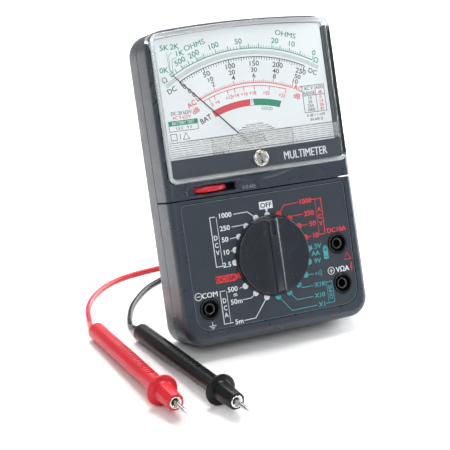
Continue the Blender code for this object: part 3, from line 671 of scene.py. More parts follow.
def build_camera():
    """Above and to the left of the meter, looking down a little."""
    camera = new_object("camera", bpy.data.cameras.new("camera"))
    back = Vector(CAMERA_BACK).normalized()
    upward = back.cross(Vector(CAMERA_RIGHT)).normalized()
    turn = Matrix((upward.cross(back), upward, back)).transposed().to_4x4()
    camera.matrix_world = Matrix.Translation(Vector(CAMERA_AT) * MM) @ turn
    camera.data.lens = CAMERA_LENS
    camera.data.sensor_width = 36.0
    camera.data.clip_end = 20.0
    bpy.context.scene.camera = camera


def softbox(name, at, aim, size, power, colour=(1.0, 1.0, 1.0)):
    """A rectangular area light at a place, facing another, both in metres."""
    light = bpy.data.lights.new(name, "AREA")
    light.shape = "RECTANGLE"
    light.size, light.size_y = size
    light.energy = power
    light.color = colour
    obj = new_object(name, light)
    obj.location = at
    obj.rotation_euler = (Vector(aim) - Vector(at)).to_track_quat("-Z", "Y").to_euler()


def build_room():
    scene = bpy.context.scene
    scene.view_settings.view_transform = "Standard"
    world = bpy.data.worlds.new("studio")
    world.use_nodes = True
    background = world.node_tree.nodes["Background"]
    background.inputs["Color"].default_value = (0.97, 0.985, 1.0, 1.0)
    background.inputs["Strength"].default_value = 0.45
    scene.world = world

    floor = mesh_object("floor", block(-3000, 3000, -3000, 3000, -2, 0), WORLD)
    paper, tree, shader, coords = new_material("white_paper")
    fibre = noise(tree, coords, 1.5, 3.0)
    feed(
        tree, shader, Base_Color=mottle(tree, fibre, (0.93, 0.925, 0.92), 0.005), Roughness=0.9,
        Normal=bump(tree, fibre, 0.01, 0.3),
    )
    floor.data.materials.append(paper)

    target = (0.0, 0.0, 0.06)
    softbox("overhead", (0.12, 0.3, 1.0), target, (0.6, 0.5), 9.5, (1.0, 0.99, 0.98))
    softbox("front", (-0.45, -0.95, 0.85), target, (0.7, 0.6), 5.2)
    softbox("strip", (0.6, 0.2, 0.2), target, (0.8, 0.42), 9.0, (0.96, 0.98, 1.0))
    softbox("backdrop", (0.5, 1.3, 1.2), (0.5, 1.1, 0.0), (1.4, 1.4), 16.0)


# ---------------------------------------------------------------- test leads

def ease(share):
    share = min(1.0, max(0.0, share))
    return share * share * (3 - 2 * share)


def smooth_route(points, count):
    """Points on a natural cubic spline through the given ones, never below the table."""
    knots = np.array(points, dtype=float)
    steps = np.linalg.norm(np.diff(knots, axis=0), axis=1)
    at = np.concatenate([[0.0], np.cumsum(steps)])
    n = len(knots)
    system = np.eye(n)
    slopes = np.zeros_like(knots)
    for i in range(1, n - 1):
        system[i, i - 1] = steps[i - 1]
        system[i, i] = 2 * (steps[i - 1] + steps[i])
        system[i, i + 1] = steps[i]
        slopes[i] = 6 * ((knots[i + 1] - knots[i]) / steps[i] - (knots[i] - knots[i - 1]) / steps[i - 1])
    bend = np.linalg.solve(system, slopes)
    route = []
    for s in np.linspace(0, at[-1], count):
        i = min(int(np.searchsorted(at, s, side="right")) - 1, n - 2)
        h = steps[i]
        a, b = (at[i + 1] - s) / h, (s - at[i]) / h
        sway = (a**3 - a) * bend[i] + (b**3 - b) * bend[i + 1]
        point = a * knots[i] + b * knots[i + 1] + sway * h**2 / 6
        point[2] = max(point[2], CORD_Z)
        route.append(tuple(point))
    return route


def coil_turns(colour, per_turn=24):
    """The turns of a coil: the lower layer winds inwards and the upper layer outwards. In
    each turn the cord steps over by its own thickness just before it meets itself."""
    (cx, cy), enters, leaves, sense = COILS[colour]
    radii = COIL_RADII + COIL_RADII[::-1]
    extra = ((leaves - enters) * sense) % 360 / 360
    total = len(radii) + extra
    step_from, step_to = 0.86, 0.985
    rise_from, rise_to = 2.72, 2.88
    points = []
    for i in range(1, int(round(total * per_turn)) + 1):
        turn = min(i / per_turn, total)
        lap = min(int(turn), len(radii) - 1)
        following = radii[min(lap + 1, len(radii) - 1)]
        over = ease((turn - lap - step_from) / (step_to - step_from))
        radius = radii[lap] + (following - radii[lap]) * over
        low, high = COIL_LEVELS
        level = low + (high - low) * ease((turn - rise_from) / (rise_to - rise_from))
        angle = math.radians(enters + sense * 360 * turn)
        points.append((cx + radius * math.cos(angle), cy + radius * math.sin(angle), level))
    return points


def plug_rear(colour):
    (cx, cy), _, leaves, _ = COILS[colour]
    angle = math.radians(leaves)
    radius = COIL_RADII[0]
    return Vector((cx + radius * math.cos(angle) + PLUG_START, cy + radius * math.sin(angle), PLUG_R))


def probe_frame(colour):
    """The matrix of a probe lying on the table: its axis is Z, from the handle's rear."""
    (x0, y0), (x1, y1) = PROBES[colour]
    heading = Vector((x1 - x0, y1 - y0, 0)).normalized()
    pitch = math.asin((GUARD_R - HANDLE_R) / HANDLE_LENGTH)
    axis = heading * math.cos(pitch) + Vector((0, 0, math.sin(pitch)))
    turn = axis.to_track_quat("Z", "Y").to_matrix().to_4x4()
    return Matrix.Translation(Vector((x0, y0, HANDLE_R)) * MM) @ turn


def build_cord(colour):
    """One lead's cord: out of the handle, over the table, round its coil and into the plug."""
    (x0, y0), (x1, y1) = PROBES[colour]
    back = Vector((x0 - x1, y0 - y1, 0)).normalized()
    rear = Vector((x0, y0, HANDLE_R))
    start = rear + back * GAP
    (cx, cy), enters, _, _ = COILS[colour]
    angle = math.radians(enters)
    joins = (cx + COIL_RADII[0] * math.cos(angle), cy + COIL_RADII[0] * math.sin(angle), CORD_Z)
    free = smooth_route([tuple(start)] + ROUTES[colour] + [joins], 34)
    plug_at = plug_rear(colour)
    run_in = [tuple(plug_at + Vector((x, 0, -0.2 if x < -4 else 0.0))) for x in (-6.0, -2.5, 0.8)]
    points = [tuple(rear - back * 1.5)] + free + coil_turns(colour) + run_in

    curve = bpy.data.curves.new(f"lead_cord_{colour}", "CURVE")
    curve.dimensions = "3D"
    curve.bevel_depth = CORD_D / 2 * MM
    curve.bevel_resolution = 5
    curve.resolution_u = 5
    curve.use_fill_caps = True
    spline = curve.splines.new("BEZIER")
    spline.bezier_points.add(len(points) - 1)
    for target, point in zip(spline.bezier_points, points):
        target.co = Vector(point) * MM
        target.handle_left_type = target.handle_right_type = "AUTO"
    curve.materials.append(FINISHES[f"lead_{colour}"])
    cord = new_object(f"lead_cord_{colour}", curve)
    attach(cord, "root")
    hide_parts(f"cord_{colour}", f"coil_{colour}")
    return cord, rear * MM


def build_plug(colour):
    """Banana plug: ribbed strain relief, grip with flutes, and a sprung pin."""
    at = Matrix.Translation(plug_rear(colour) * MM) @ Z_TO_X
    profile = [(0, 0), (1.7, 0), (1.85, 0.2)]
    ribs, rib_pitch = 5, 1.9
    for i in range(ribs):
        low = 0.6 + i * rib_pitch
        radius = 1.9 + 0.24 * i
        rib = [(radius, 0), (radius + 0.22, 0.25), (radius + 0.26, 1.0), (radius + 0.02, 1.25)]
        profile += shifted(rib, low)
    profile += [(3.2, 10), (4.1, 10.9), (PLUG_R - 0.1, 11.5), (PLUG_R, 12), (PLUG_R, 24.5)]
    profile += [(PLUG_R - 0.25, 25.6), (PLUG_R - 0.3, 26.4), (PLUG_R - 0.8, 27.6)]
    profile += [(3.2, PLUG_LENGTH), (0, PLUG_LENGTH)]
    plug = piece(f"lead_plug_{colour}", turned(profile, 48), f"lead_{colour}", f"plug_{colour}", at)
    flutes = []
    flute_count, flute_at = 12, PLUG_R + 0.25
    for i in range(flute_count):
        angle = 2 * math.pi * i / flute_count
        place = (flute_at * math.cos(angle), flute_at * math.sin(angle), 0)
        flutes.append(moved(cylinder(0.55, 14, 23, 12), place))
    cut(plug, several(flutes))
    finished(plug, 0.1, 2, 40)

    start = PLUG_LENGTH + GAP
    thin, bulge = 1.7, 2.15
    pin = [(0, start), (thin, start), (thin, start + 3)]
    for t in np.linspace(0, 1, 13):
        swell = (bulge - thin) * math.sin(math.pi * t) ** 1.5
        pin.append((thin + swell, start + 3.5 + 11.5 * t))
    pin += shifted([(1.6, -2.4), (1.35, -0.9), (0.8, -0.1), (0, 0)], start + PLUG_PIN_LENGTH)
    metal_pin = piece(f"lead_plug_pin_{colour}", turned(pin, 32), "nickel", f"plug_pin_{colour}", at)
    across, half_slot = 3, 0.12
    for x, y in ((across, half_slot), (half_slot, across)):
        cut(metal_pin, block(-x, x, -y, y, start + 4.2, start + 14.4))
    finished(metal_pin, 0.0)
    return plug, metal_pin


def octagon_loop(radius, height, squareness, steps=64):
    """A ring between a circle (squareness 0) and an octagon with the same flats (1)."""
    points = []
    for i in range(steps):
        angle = 2 * math.pi * i / steps
        off = (angle + math.pi / 8) % (math.pi / 4) - math.pi / 8
        reach = radius * (1 - squareness + squareness * min(1.05, 1 / math.cos(off)))
        points.append((reach * math.cos(angle), reach * math.sin(angle), height))
    return points


def build_probe(colour):
    """Handle with its finger guard and faceted nozzle, the collar and the pin."""
    at = probe_frame(colour)
    tip = HANDLE_LENGTH + NOZZLE_LENGTH
    # Radius, height and squareness of each ring, from the rear to inside the nozzle
    rings = [(1.0, 0.0, 0)]
    end_round = 2.5
    for a in np.radians(np.linspace(-90, 0, 9)):
        rings.append((HANDLE_R - end_round + end_round * math.cos(a), end_round + end_round * math.sin(a), 0))
    rings += [(4.38, 30, 0), (4.28, 60, 0)]
    rings += shifted([(4.2, -2.2, 0), (4.35, -1.6, 0), (5.2, -1.1, 0)], HANDLE_LENGTH)
    for a in np.radians(np.linspace(-75, 75, 9)):
        rings.append((GUARD_R - 0.7 + 0.7 * math.cos(a), HANDLE_LENGTH - 0.1 + 0.75 * math.sin(a), 0))
    collar_end = [(6.0, 0.75, 0), (5.15, 1.0, 0), (4.85, 1.6, 0.2), (4.7, 2.6, 0.8), (4.45, 5, 1)]
    rings += shifted(collar_end, HANDLE_LENGTH)
    mouth = [(3.95, -0.5, 1), (3.8, -0.12, 1), (3.55, 0, 0.8), (3.1, 0, 0.2), (3.0, -0.2, 0)]
    rings += shifted(mouth + [(3.0, -2.2, 0), (1.3, -2.2, 0), (1.3, -6, 0)], tip)
    solid = loft([octagon_loop(*ring) for ring in rings])
    handle = piece(f"handle_{colour}", solid, f"lead_{colour}", f"probe_handle_{colour}", at)
    ribs = []
    rib_count, rib_pitch, rib_half, rib_reach = 16, 2.2, 0.35, 1.5
    for i in range(rib_count):
        along = 34 + rib_pitch * i
        rib = cylinder(4.58, along - rib_half, along + rib_half, 64)
        for vert in rib.verts:
            if vert.co.xy.length > 0.1:
                vert.co.x = max(-rib_reach, min(rib_reach, vert.co.x))
        ribs.append(rib)
    join(handle, several(ribs))
    finished(handle, 0.12, 2, 40)

    collar = [(1.3, -1.9), (2.9, -1.9), (2.9, 0.1), (2.8, 0.28), (2.55, 0.36), (2.3, 0.3)]
    collar += [(1.75, -0.55), (1.3, -1.1)]
    ring = turned(shifted(collar, tip), 48)
    finished(piece(f"collar_{colour}", ring, "nickel", f"probe_collar_{colour}", at), 0.0, angle=50)
    pin = shifted([(0, -5.7), (1.0, -5.7)], tip)
    pin += shifted([(1.0, -3.2), (0.9, -2.6), (0.35, -0.35), (0.18, -0.05), (0, 0)], tip + PIN_LENGTH)
    finished(piece(f"pin_{colour}", turned(pin, 32), "steel", f"probe_pin_{colour}", at), 0.0, angle=50)


def build_leads():
    for colour in ("red", "black"):
        cord, exit_point = build_cord(colour)
        plug, plug_pin = build_plug(colour)
        build_probe(colour)


# ---------------------------------------------------------------- case

def both_bosses(radius, y0, y1, steps=48):
    """A round solid at each of the two case screws."""
    x, z = CASE_SCREW
    return [hole(side * x, z, radius, y0, y1, steps) for side in (-1, 1)]


def build_front_shell():
    """Lower half of the front, and the legend panel in its recess."""
    top = SPLIT - GAP
    edge = front_round(FRONT_EDGE, 0, SEAM - GAP / 2, 10)
    solid = rounded_prism(lambda inset: lower_outline(inset, top), edge)
    front = piece("front_shell", solid, "case_grey", "front_case")
    cut(front, prism(lower_outline(WALL, top - WALL), FACE_WALL, SEAM + 1))
    reach = PLATE_HALF + GAP
    recess = rounded_box(-reach, reach, PLATE_LOW - GAP, PLATE_TOP + GAP, 7.8, 2.3)
    cut(front, prism(recess, -1, PLATE_BACK + GAP))
    join(front, several(both_bosses(3.2, 2.0, SEAM - GAP / 2)))
    holes = [hole(x, z, JACK_R + GAP, -1, 4) for x, z in JACKS.values()]
    holes.append(hole(0, KNOB_Z, SHAFT_R + 0.6, -1, 4))
    cut(front, several(holes + both_bosses(BOSS_HOLE_R, 6, SEAM + 1)))
    finished(front, 0.22)

    outline = rounded_box(-PLATE_HALF, PLATE_HALF, PLATE_LOW, PLATE_TOP, 7.5, 2.0)
    plate = piece("legend_panel", prism(outline, PLATE_FRONT, PLATE_BACK), "legend", "legend_plate")
    cut(plate, several([hole(x, z, JACK_R + GAP, -1, 4) for x, z in (*JACKS.values(), (0, KNOB_Z))]))
    finished(plate, 0.08, 2)


def finger_scoop():
    """The crescent hollow under the window, deepest along the window's lower edge."""
    half_chord, sag = 18.0, 3.2
    radius = (half_chord**2 + sag**2) / (2 * sag)
    deepest = -1.5
    slope = [(3.0, deepest), (2.3, -1.43), (1.7, -1.27), (1.2, -1.06), (0.8, -0.84), (0.4, -0.53)]
    slope.append((0.15, -0.26))
    profile = [(0, deepest)] + [(radius - back, depth) for back, depth in slope]
    profile += [(radius, 0), (radius, 1), (0, 1)]
    centre_z = LENS_LOW - GAP - sag + radius
    return faced_out(profile, 256, 0, centre_z)


def build_head():
    """Upper half of the front, which holds the window, the thumbwheel and the finger scoop."""
    bottom = SPLIT + GAP
    edge = front_round(FRONT_EDGE, 0, SEAM - GAP / 2, 10)
    solid = rounded_prism(lambda inset: upper_outline(inset, bottom), edge)
    head = piece("head_shell", solid, "case_grey", "head_frame")
    cut(head, prism(upper_outline(WALL, bottom - 5), WALL, SEAM + 1))
    cut(head, prism(lens_outline(-GAP), -1, LENS_BACK + GAP))
    cut(head, finger_scoop())
    wheel_z = WHEEL[2]
    left, right = WHEEL_RECESS
    half_recess, half_slot = 2.45, 1.75
    dish = [(-0.9, -1.0), (-0.1, 0.0), (0.12, 0.3), (0.75, 1.2)]

    def pill(inset):
        half = half_recess - inset
        return rounded_box(left + inset, right - inset, wheel_z - half, wheel_z + half, half - 0.01)

    cut(head, rounded_prism(pill, dish))
    cut(head, block(*WHEEL_SLOT, -1, 4, wheel_z - half_slot, wheel_z + half_slot))
    # The narrow ledge behind the window is left sharp, because a broken edge would fold it
    soften_only(finished(head, 0.25), lambda end: abs(end.y - LENS_BACK - GAP) > 1)


def build_rear_shell():
    """Back of the case with its bosses, hinge lugs, label recess and grip grooves."""
    start = SEAM + GAP / 2
    steps = 8
    edge = [(0.0, start)]
    for i in range(steps + 1):
        a = math.radians(90 * i / steps)
        edge.append((BACK_EDGE * (1 - math.cos(a)), DEPTH - BACK_EDGE * (1 - math.sin(a))))
    rear = piece("rear_shell", rounded_prism(case_outline, edge), "case_grey", "rear_case")
    cut(rear, prism(case_outline(WALL), start - 1, DEPTH - WALL))
    join(rear, several(both_bosses(4.2, start, DEPTH - 1)))
    hinge_y, hinge_z = HINGE
    lug_r, lug_wide = 2.8, 5
    lug = arc(hinge_y, hinge_z, lug_r, -90, 90, 17)
    lug += [(DEPTH - 1, hinge_z + lug_r), (DEPTH - 1, hinge_z - lug_r)]
    inner = KNUCKLE_HALF + GAP
    lugs = [prism(lug, inner, inner + lug_wide), prism(lug, -inner - lug_wide, -inner)]
    join(rear, several([swapped(solid, (1, 0, 2)) for solid in lugs]))
    cut(rear, several(both_bosses(2.8, 24.3, DEPTH + 1)))
    cut(rear, several(both_bosses(BOSS_HOLE_R, start - 1, 25, 40)))
    cut(rear, moved(cylinder(1.5, -22, 22), (0, hinge_y, hinge_z), Z_TO_X))
    cut(rear, moved(block(-60, 60, -60, 60, -20, -REST_CUT), (0, 0, 0), Matrix.Rotation(LEAN, 4, "X")))
    cut(rear, prism(rounded_box(-32, 32, 97, 121, 1.5), DEPTH - 0.4, DEPTH + 1))
    grips, half = [], 0.7
    for z in np.arange(129, 142, 2.8):
        grips.append(prism(rounded_box(-24, 24, z - half, z + half, half), DEPTH - half, DEPTH + 1))
    cut(rear, several(grips))
    finished(rear, 0.25)

    screw_x, screw_z = CASE_SCREW
    half_slot = 0.4
    profile = [(0, -17), (1.2, -17), (1.2, -0.2), (2.4, -0.2), (2.4, 1.1), (2.2, 1.45), (1.7, 1.65), (0, 1.7)]
    for side, name in ((-1, "case_screw_left"), (1, "case_screw_right")):
        x = side * screw_x
        screw = piece(name, moved(turned(profile), (x, 24.9, screw_z), Z_TO_Y), "steel", name)
        cut(screw, block(x - half_slot, x + half_slot, 25.9, 27, screw_z - 3, screw_z + 3))
        finished(screw, 0.08, 2)


def build_stand():
    """Tilt stand: two legs round an opening, a grooved foot, and a barrel for the hinge pin."""
    hinge = Vector(JOINTS["stand_fold"]["pos_m"])
    at = Matrix.Translation(hinge) @ Matrix.Rotation(STAND_TILT, 4, "X")
    foot = -hinge.z / MM / math.cos(STAND_TILT)
    half, hip, neck = STAND_THICK / 2, 25.0, KNUCKLE_HALF
    outline = [(-neck, 0.0), (-neck, -6.0)] + arc(-hip + 3, -19, 3, 130, 180, 6)
    outline += arc(-hip + 3.6, foot + 3.6, 3.6, 184, 270, 8)
    outline += [(-x, z) for x, z in reversed(outline)]
    leg = prism(outline, -half, half)
    for vert in leg.verts:
        if vert.co.z < foot + 1:
            vert.co.z -= vert.co.y * math.tan(STAND_TILT)
    stand = piece("stand", leg, "case_grey", "tilt_stand", at, "stand")
    join(stand, moved(cylinder(KNUCKLE_R, -neck, neck, 48), (0, 0, 0), Z_TO_X))
    cut(stand, prism(rounded_box(-16, 16, foot + 12, -20, 4), -5, 5))
    cut(stand, moved(cylinder(1.5, -neck - 1, neck + 1), (0, 0, 0), Z_TO_X))
    grooves = [block(-14, 14, half - 0.4, half + 1, foot + z - 0.4, foot + z + 0.4) for z in (4.0, 6.0, 8.0)]
    cut(stand, several(grooves))
    finished(stand, 0.18)

    hinge_y, hinge_z = HINGE
    reach = KNUCKLE_HALF + GAP + 4.6
    pin = moved(cylinder(1.2, -reach, reach), (0, hinge_y, hinge_z), Z_TO_X)
    finished(piece("hinge_pin", pin, "steel", "stand_pin"), 0.2, 2)


# ---------------------------------------------------------------- controls

def build_knob():
    """Selector with a raised grip bar between two hollow scoops."""
    base = PLATE_FRONT - GAP
    at = case_at(0, 0, KNOB_Z)
    rim = [(0.25, -base), (0, -base + 0.2), (0, 0.55), (0.12, 0.85), (0.45, 0.98), (0.55, 1.15), (0.75, 2.0)]
    rim += [(2.4, KNOB_TOP - 0.75), (2.9, KNOB_TOP - 0.25), (3.6, KNOB_TOP)]
    profile = [(0, -base)] + [(KNOB_R - inset, height) for inset, height in rim] + [(0, KNOB_TOP)]
    knob = piece("selector", faced_out(profile, 160), "knob_black", "selector_knob", at, "selector")
    # Each scoop falls away from the bar in a steep step, then a gentle slope, then rises a little
    above = -KNOB_TOP - 2
    scoop = [(GRIP_HALF, above)]
    for t in np.geomspace(0.05, KNOB_R, 48):
        depth = 1.85 * (1 - math.exp(-t / 0.6)) + 1.6 * (1 - math.exp(-t / 6)) - 0.0035 * t * t
        scoop.append((GRIP_HALF + t, depth - KNOB_TOP))
    scoop.append((scoop[-1][0], above))
    for side in (-1, 1):
        cut(knob, swapped(prism([(side * x, y) for x, y in scoop], -30, 30), (0, 2, 1)))
    cut(knob, prism(rounded_box(-0.9, 0.9, 9.6, 19, 0.88), -KNOB_TOP - 1, -KNOB_TOP + 0.9))
    cut(knob, hole(0, 0, SHAFT_R + GAP, -2.9, 1))
    finished(knob, 0.28, 3, 28)


def build_jacks():
    """Plastic body and metal sleeve of each empty jack."""
    body = [(2.95, -7.3), (JACK_R, -7.3), (JACK_R, -0.25), (JACK_R - 0.06, -0.03), (JACK_R - 0.2, 0.1)]
    body += [(4.5, 0.1), (4.37, 0.03), (4.33, -0.15), (4.2, -6), (2.95, -6)]
    sleeve = [(BORE_R, -9.9), (SLEEVE_R, -9.9), (SLEEVE_R, -1.05), (SLEEVE_R - 0.1, -0.9)]
    sleeve += [(BORE_R + 0.25, -0.9), (BORE_R, -1.2)]
    for name, (x, z) in JACKS.items():
        finished(piece(f"socket_{name}", faced_out(body, 64, x, z), "jack_black", f"jack_body_{name}"), 0.0)
        tube = faced_out(sleeve, 48, x, z)
        # The sleeve's dark finish is partly painted shade of the recess it sits in
        contact = f"socket_contact_{name}"
        finished(piece(contact, tube, "socket_metal", f"jack_sleeve_{name}"), 0.0)


def build_wheel():
    """Thumbwheel with fine knurling and a chamfer, on its short shaft."""
    at = case_at(*WHEEL)
    half = WHEEL_THICK / 2
    teeth, tooth_deep = 60, 0.4
    rim = []
    for i in range(teeth):
        start = 360 * i / teeth
        rim += arc(0, 0, WHEEL_R, start, start + 2.2, 2)
        rim += arc(0, 0, WHEEL_R - tooth_deep, start + 3.2, start + 4.8, 2)
    levels = [(0.93, -half), (0.965, -half + 0.16), (0.99, -half + 0.5), (1.0, -half + 0.9)]
    levels += [(share, -z) for share, z in reversed(levels)]
    disc = loft([[(x * share, y * share, z) for x, y in rim] for share, z in levels])
    wheel = piece("ohms_wheel", disc, "wheel_red", "ohms_adjust_wheel", at, "adjust_wheel")
    join(wheel, cylinder(1.6, 0, 3.8))
    finished(wheel, 0.0, angle=30)


# ---------------------------------------------------------------- meter window

def build_lens():
    """Clear cover with its half-round magnifying bump, and grooves that rib the inner face."""
    edge = front_round(0.9, LENS_FRONT, LENS_BACK, 6)
    lens = piece("window", rounded_prism(lens_outline, edge), "clear_plastic", "lens_cover")
    inner = LENS_FRONT + LENS_WALL
    cut(lens, prism(lens_outline(LENS_SIDE), inner, LENS_BACK + 1))
    foot_angle = math.degrees(math.asin((BAND_TOP - BUMP_Z) / BUMP_R))
    dome = arc(0, BUMP_Z, BUMP_R, foot_angle, 180 - foot_angle, 49)
    join(lens, prism(dome, LENS_FRONT - BUMP_PROUD, LENS_FRONT + 0.4))
    pitch, deep, half_groove = 1.0, 0.42, 0.62
    full_width, full_below, top = LENS_HALF - LENS_SIDE - 0.6, 98.2, 102.4
    for z in np.arange(BAND_TOP + 1.0, top, pitch):
        half = full_width
        if z >= full_below:  # higher up they stay within the bump
            half = math.sqrt(max(1.0, (BUMP_R - 1.0) ** 2 - (z - BUMP_Z) ** 2))
        vee = [(inner + 0.5, z - half_groove), (inner + 0.5, z + half_groove), (inner - deep, z)]
        cut(lens, swapped(prism(vee, -half, half), (1, 0, 2)))
    cut(lens, hole(0, SCREW_Z, SCREW_HOLE_R, -3, 2))
    finished(lens, 0.08, 2, 40)


def build_seal():
    """Pale foam under the foot of the window, which lights up the clear walls."""
    outer, inner = lens_outline(-0.15), lens_outline(LENS_SIDE + 0.2)
    seal = piece("window_seal", prism(outer, LENS_BACK + 0.03, LENS_BACK + 0.27), "foam")
    cut(seal, prism(inner, LENS_BACK - 1, LENS_BACK + 1))
    # Open on the right, where the photo shows the wall dark
    cut(seal, block(LENS_HALF - LENS_SIDE - 1, LENS_HALF + 1, 0, 10, LENS_LOW + 3, CASE_H - 7.5))
    finished(seal, 0.0)


def build_dial():
    """Dark band across the foot of the window, and the dial plate."""
    inset = LENS_SIDE + GAP
    low = LENS_LOW + inset
    front = LENS_FRONT + LENS_WALL + GAP
    outline = rounded_box(-LENS_HALF + inset, LENS_HALF - inset, low, BAND_TOP, 1.5, 0.2)
    band = piece("band", prism(outline, front, front + 0.5), "band", "band_cover")
    cut(band, hole(0, SCREW_Z, SCREW_HOLE_R, -3, 3))
    finished(band, 0.06, 2)

    side = CASE_W / 2 - DIAL_HALF
    corner = 2
    outline = arc(-DIAL_HALF + corner, low + corner, corner, 180, 270, 6)
    outline += arc(DIAL_HALF - corner, low + corner, corner, 270, 360, 6)
    outline += head_outline(side, LENS_RIM + inset, corner)
    dial = piece("dial", prism(outline, DIAL_FRONT, DIAL_BACK), "dial_white", "dial_plate")
    cut(dial, block(-22, 22, DIAL_FRONT - 1, DIAL_BACK + 1, low - 1, 98.5))
    finished(dial, 0.08, 2)


def build_shroud():
    """Pale cover over the movement, seen through the ribs, open round the hub."""
    opening_r, cup_r, bore_r = 7.8, 8.2, 1.6
    sheet = prism(rounded_box(-21.6, 21.6, 80.6, 98.2, 0.6), 4.55, 5.0)
    shroud = piece("movement_shroud", sheet, "shroud_grey")
    cut(shroud, hole(0, PIVOT_Z, opening_r, 4, 6, 64))
    cup = [(bore_r, -6.9), (cup_r, -6.9), (cup_r, -4.6), (opening_r, -4.6), (opening_r, -6.5), (bore_r, -6.5)]
    join(shroud, faced_out(cup, 64, 0, PIVOT_Z))
    finished(shroud, 0.0)


def build_needle():
    """Needle with its hub and short tail, at its resting angle."""
    at = case_at(0, 0, PIVOT_Z) @ Matrix.Rotation(REST_ANGLE, 4, "Y")
    hub_r = 1.8
    blade = [(-0.16, POINTER_LENGTH), (-0.3, 2)] + arc(0, 0, hub_r, 100, 260, 17)
    blade += [(-0.5, -7), (0.5, -7)] + arc(0, 0, hub_r, 280, 440, 17) + [(0.3, 2), (0.16, POINTER_LENGTH)]
    needle = piece("needle", prism(blade, 3.35, 3.65), "pointer_black", "pointer", at, "needle")
    cut(needle, hole(0, 0, 0.75, 3, 4))
    finished(needle, 0.05, 2)


def build_zero_screw():
    """Slotted screw with a bright raised rim, and the eccentric pin behind it."""
    at = case_at(0, 0, SCREW_Z)
    profile = [(0, -1.4), (1.6, -1.4), (1.6, 1.3), (3.75, 1.3), (3.9, 1.45), (3.9, 2.55), (3.8, 2.8)]
    profile += [(3.6, 2.95), (3.35, 3.0), (3.1, 2.95), (2.95, 2.75), (2.85, 2.3), (2.7, 2.25)]
    profile += [(2.5, 2.4), (0, 2.45)]
    screw = piece("zero_screw", faced_out(profile, 96), "nickel", "zero_adjust_screw", at, "zero_screw")
    slot_turn = Matrix.Rotation(math.radians(-14), 4, "Y")
    cut(screw, moved(block(-0.6, 0.6, -4, -0.7, -2.6, 2.6), (0, 0, 0), slot_turn))
    join(screw, hole(0, 0.6, 0.4, 1.2, 2.9, 24))
    finished(screw, 0.06, 2)


# ---------------------------------------------------------------- prints

PROUD = 0.03
SUNK = 0.05
CAP_HEIGHT = 0.685  # of the built-in font, for a letter size of 1
DOT_R = 1.5


class Print:
    """Ink on a face: strokes, fills and letters that stand a hair proud of it."""

    def __init__(self, name, finish, face, proud=PROUD):
        self.name, self.finish = name, finish
        self.front, self.back = face - proud, face + SUNK
        self.shapes = []

    def fill(self, outline):
        self.shapes.append(prism(outline, self.front, self.back))

    def disc(self, x, z, radius):
        self.fill(arc(x, z, radius, 0, 350, 36))

    def dots(self, *centres):
        for x, z in centres:
            self.disc(x, z, DOT_R)

    def line(self, points, width=0.34):
        """A stroke along a polyline, with mitred corners."""
        ends = [Vector(p) for p in points]
        sides = ([], [])
        for i, point in enumerate(ends):
            before = (point - ends[i - 1]).normalized() if i else None
            after = (ends[i + 1] - point).normalized() if i + 1 < len(ends) else None
            run = before or after
            if before and after:
                run = (before + after).normalized()
            reach = width / 2 / (max(0.5, run.dot(after)) if after else 1.0)
            across = Vector((-run.y, run.x)) * reach
            sides[0].append(point + across)
            sides[1].append(point - across)
        bm = bmesh.new()
        depths = (self.front, self.back)
        rows = [[bm.verts.new((p.x, y, p.y)) for p in side] for y in depths for side in sides]
        order = [rows[0], rows[1], rows[3], rows[2]]
        for first, second in zip(order, order[1:] + order[:1]):
            for i in range(len(ends) - 1):
                bm.faces.new((first[i], first[i + 1], second[i + 1], second[i]))
        bm.faces.new([row[0] for row in order])
        bm.faces.new([row[-1] for row in reversed(order)])
        self.shapes.append(bm)

    def lines(self, *routes, width=0.34):
        for points in routes:
            self.line(points, width)

    def arc(self, centre, radius, start, end, width, steps):
        """A curved stroke, its angles measured clockwise from straight up."""
        self.line(arc(*centre, radius, 90 - start, 90 - end, steps), width)

    def bracket(self, back, high_end, low_end, inner, low, high):
        """A bracket round a group of ranges, with a thin line inside it. All but low and
        high are places along X."""
        self.line([(high_end, high), (back, high), (back, low), (low_end, low)], 0.36)
        self.line([(inner, high - 0.2), (inner, low + 0.4)], 0.22)

    def text(self, words, x, z, height, turn=0.0, squeeze=0.9, weight=0.018):
        """Letters centred on a point, turned anticlockwise by an angle in degrees. Weight
        thickens them: by an offset, or by two copies side by side where an M would fill up."""
        doubled = "M" in words
        nudges = (-weight, weight) if doubled else (0.0,)
        curve = bpy.data.curves.new("words", "FONT")
        curve.body = words
        curve.align_x = "CENTER"
        curve.offset = 0.0 if doubled else weight
        curve.resolution_u = 3
        scale = height / CAP_HEIGHT
        curve.extrude = (self.back - self.front) / 2 / scale
        obj = new_object("words", curve)
        graph = bpy.context.evaluated_depsgraph_get()
        mesh = bpy.data.meshes.new_from_object(obj.evaluated_get(graph))
        size = Matrix.Diagonal((scale * squeeze, scale, scale, 1.0))
        place = Matrix.Translation((x, (self.front + self.back) / 2, z))
        turned_to = Matrix.Rotation(math.radians(turn), 4, "Z")
        apart = 0.008  # in depth, so that the copies' faces don't coincide
        for nudge in nudges:
            bm = bmesh.new()
            bm.from_mesh(mesh)
            bmesh.ops.remove_doubles(bm, verts=bm.verts, dist=1e-5)
            middle = Matrix.Translation((nudge * scale, -height / 2, apart if nudge > 0 else 0.0))
            bmesh.ops.transform(bm, matrix=place @ Z_OUT @ turned_to @ middle @ size, verts=bm.verts)
            self.shapes.append(bm)
        bpy.data.objects.remove(obj, do_unlink=True)
        bpy.data.curves.remove(curve)
        bpy.data.meshes.remove(mesh)

    def column(self, letters, x, zs):
        """Letters one above another."""
        for letter, z in zip(letters, zs):
            self.text(letter, x, z, 2.2)

    def done(self):
        return piece(self.name, several(self.shapes), self.finish)


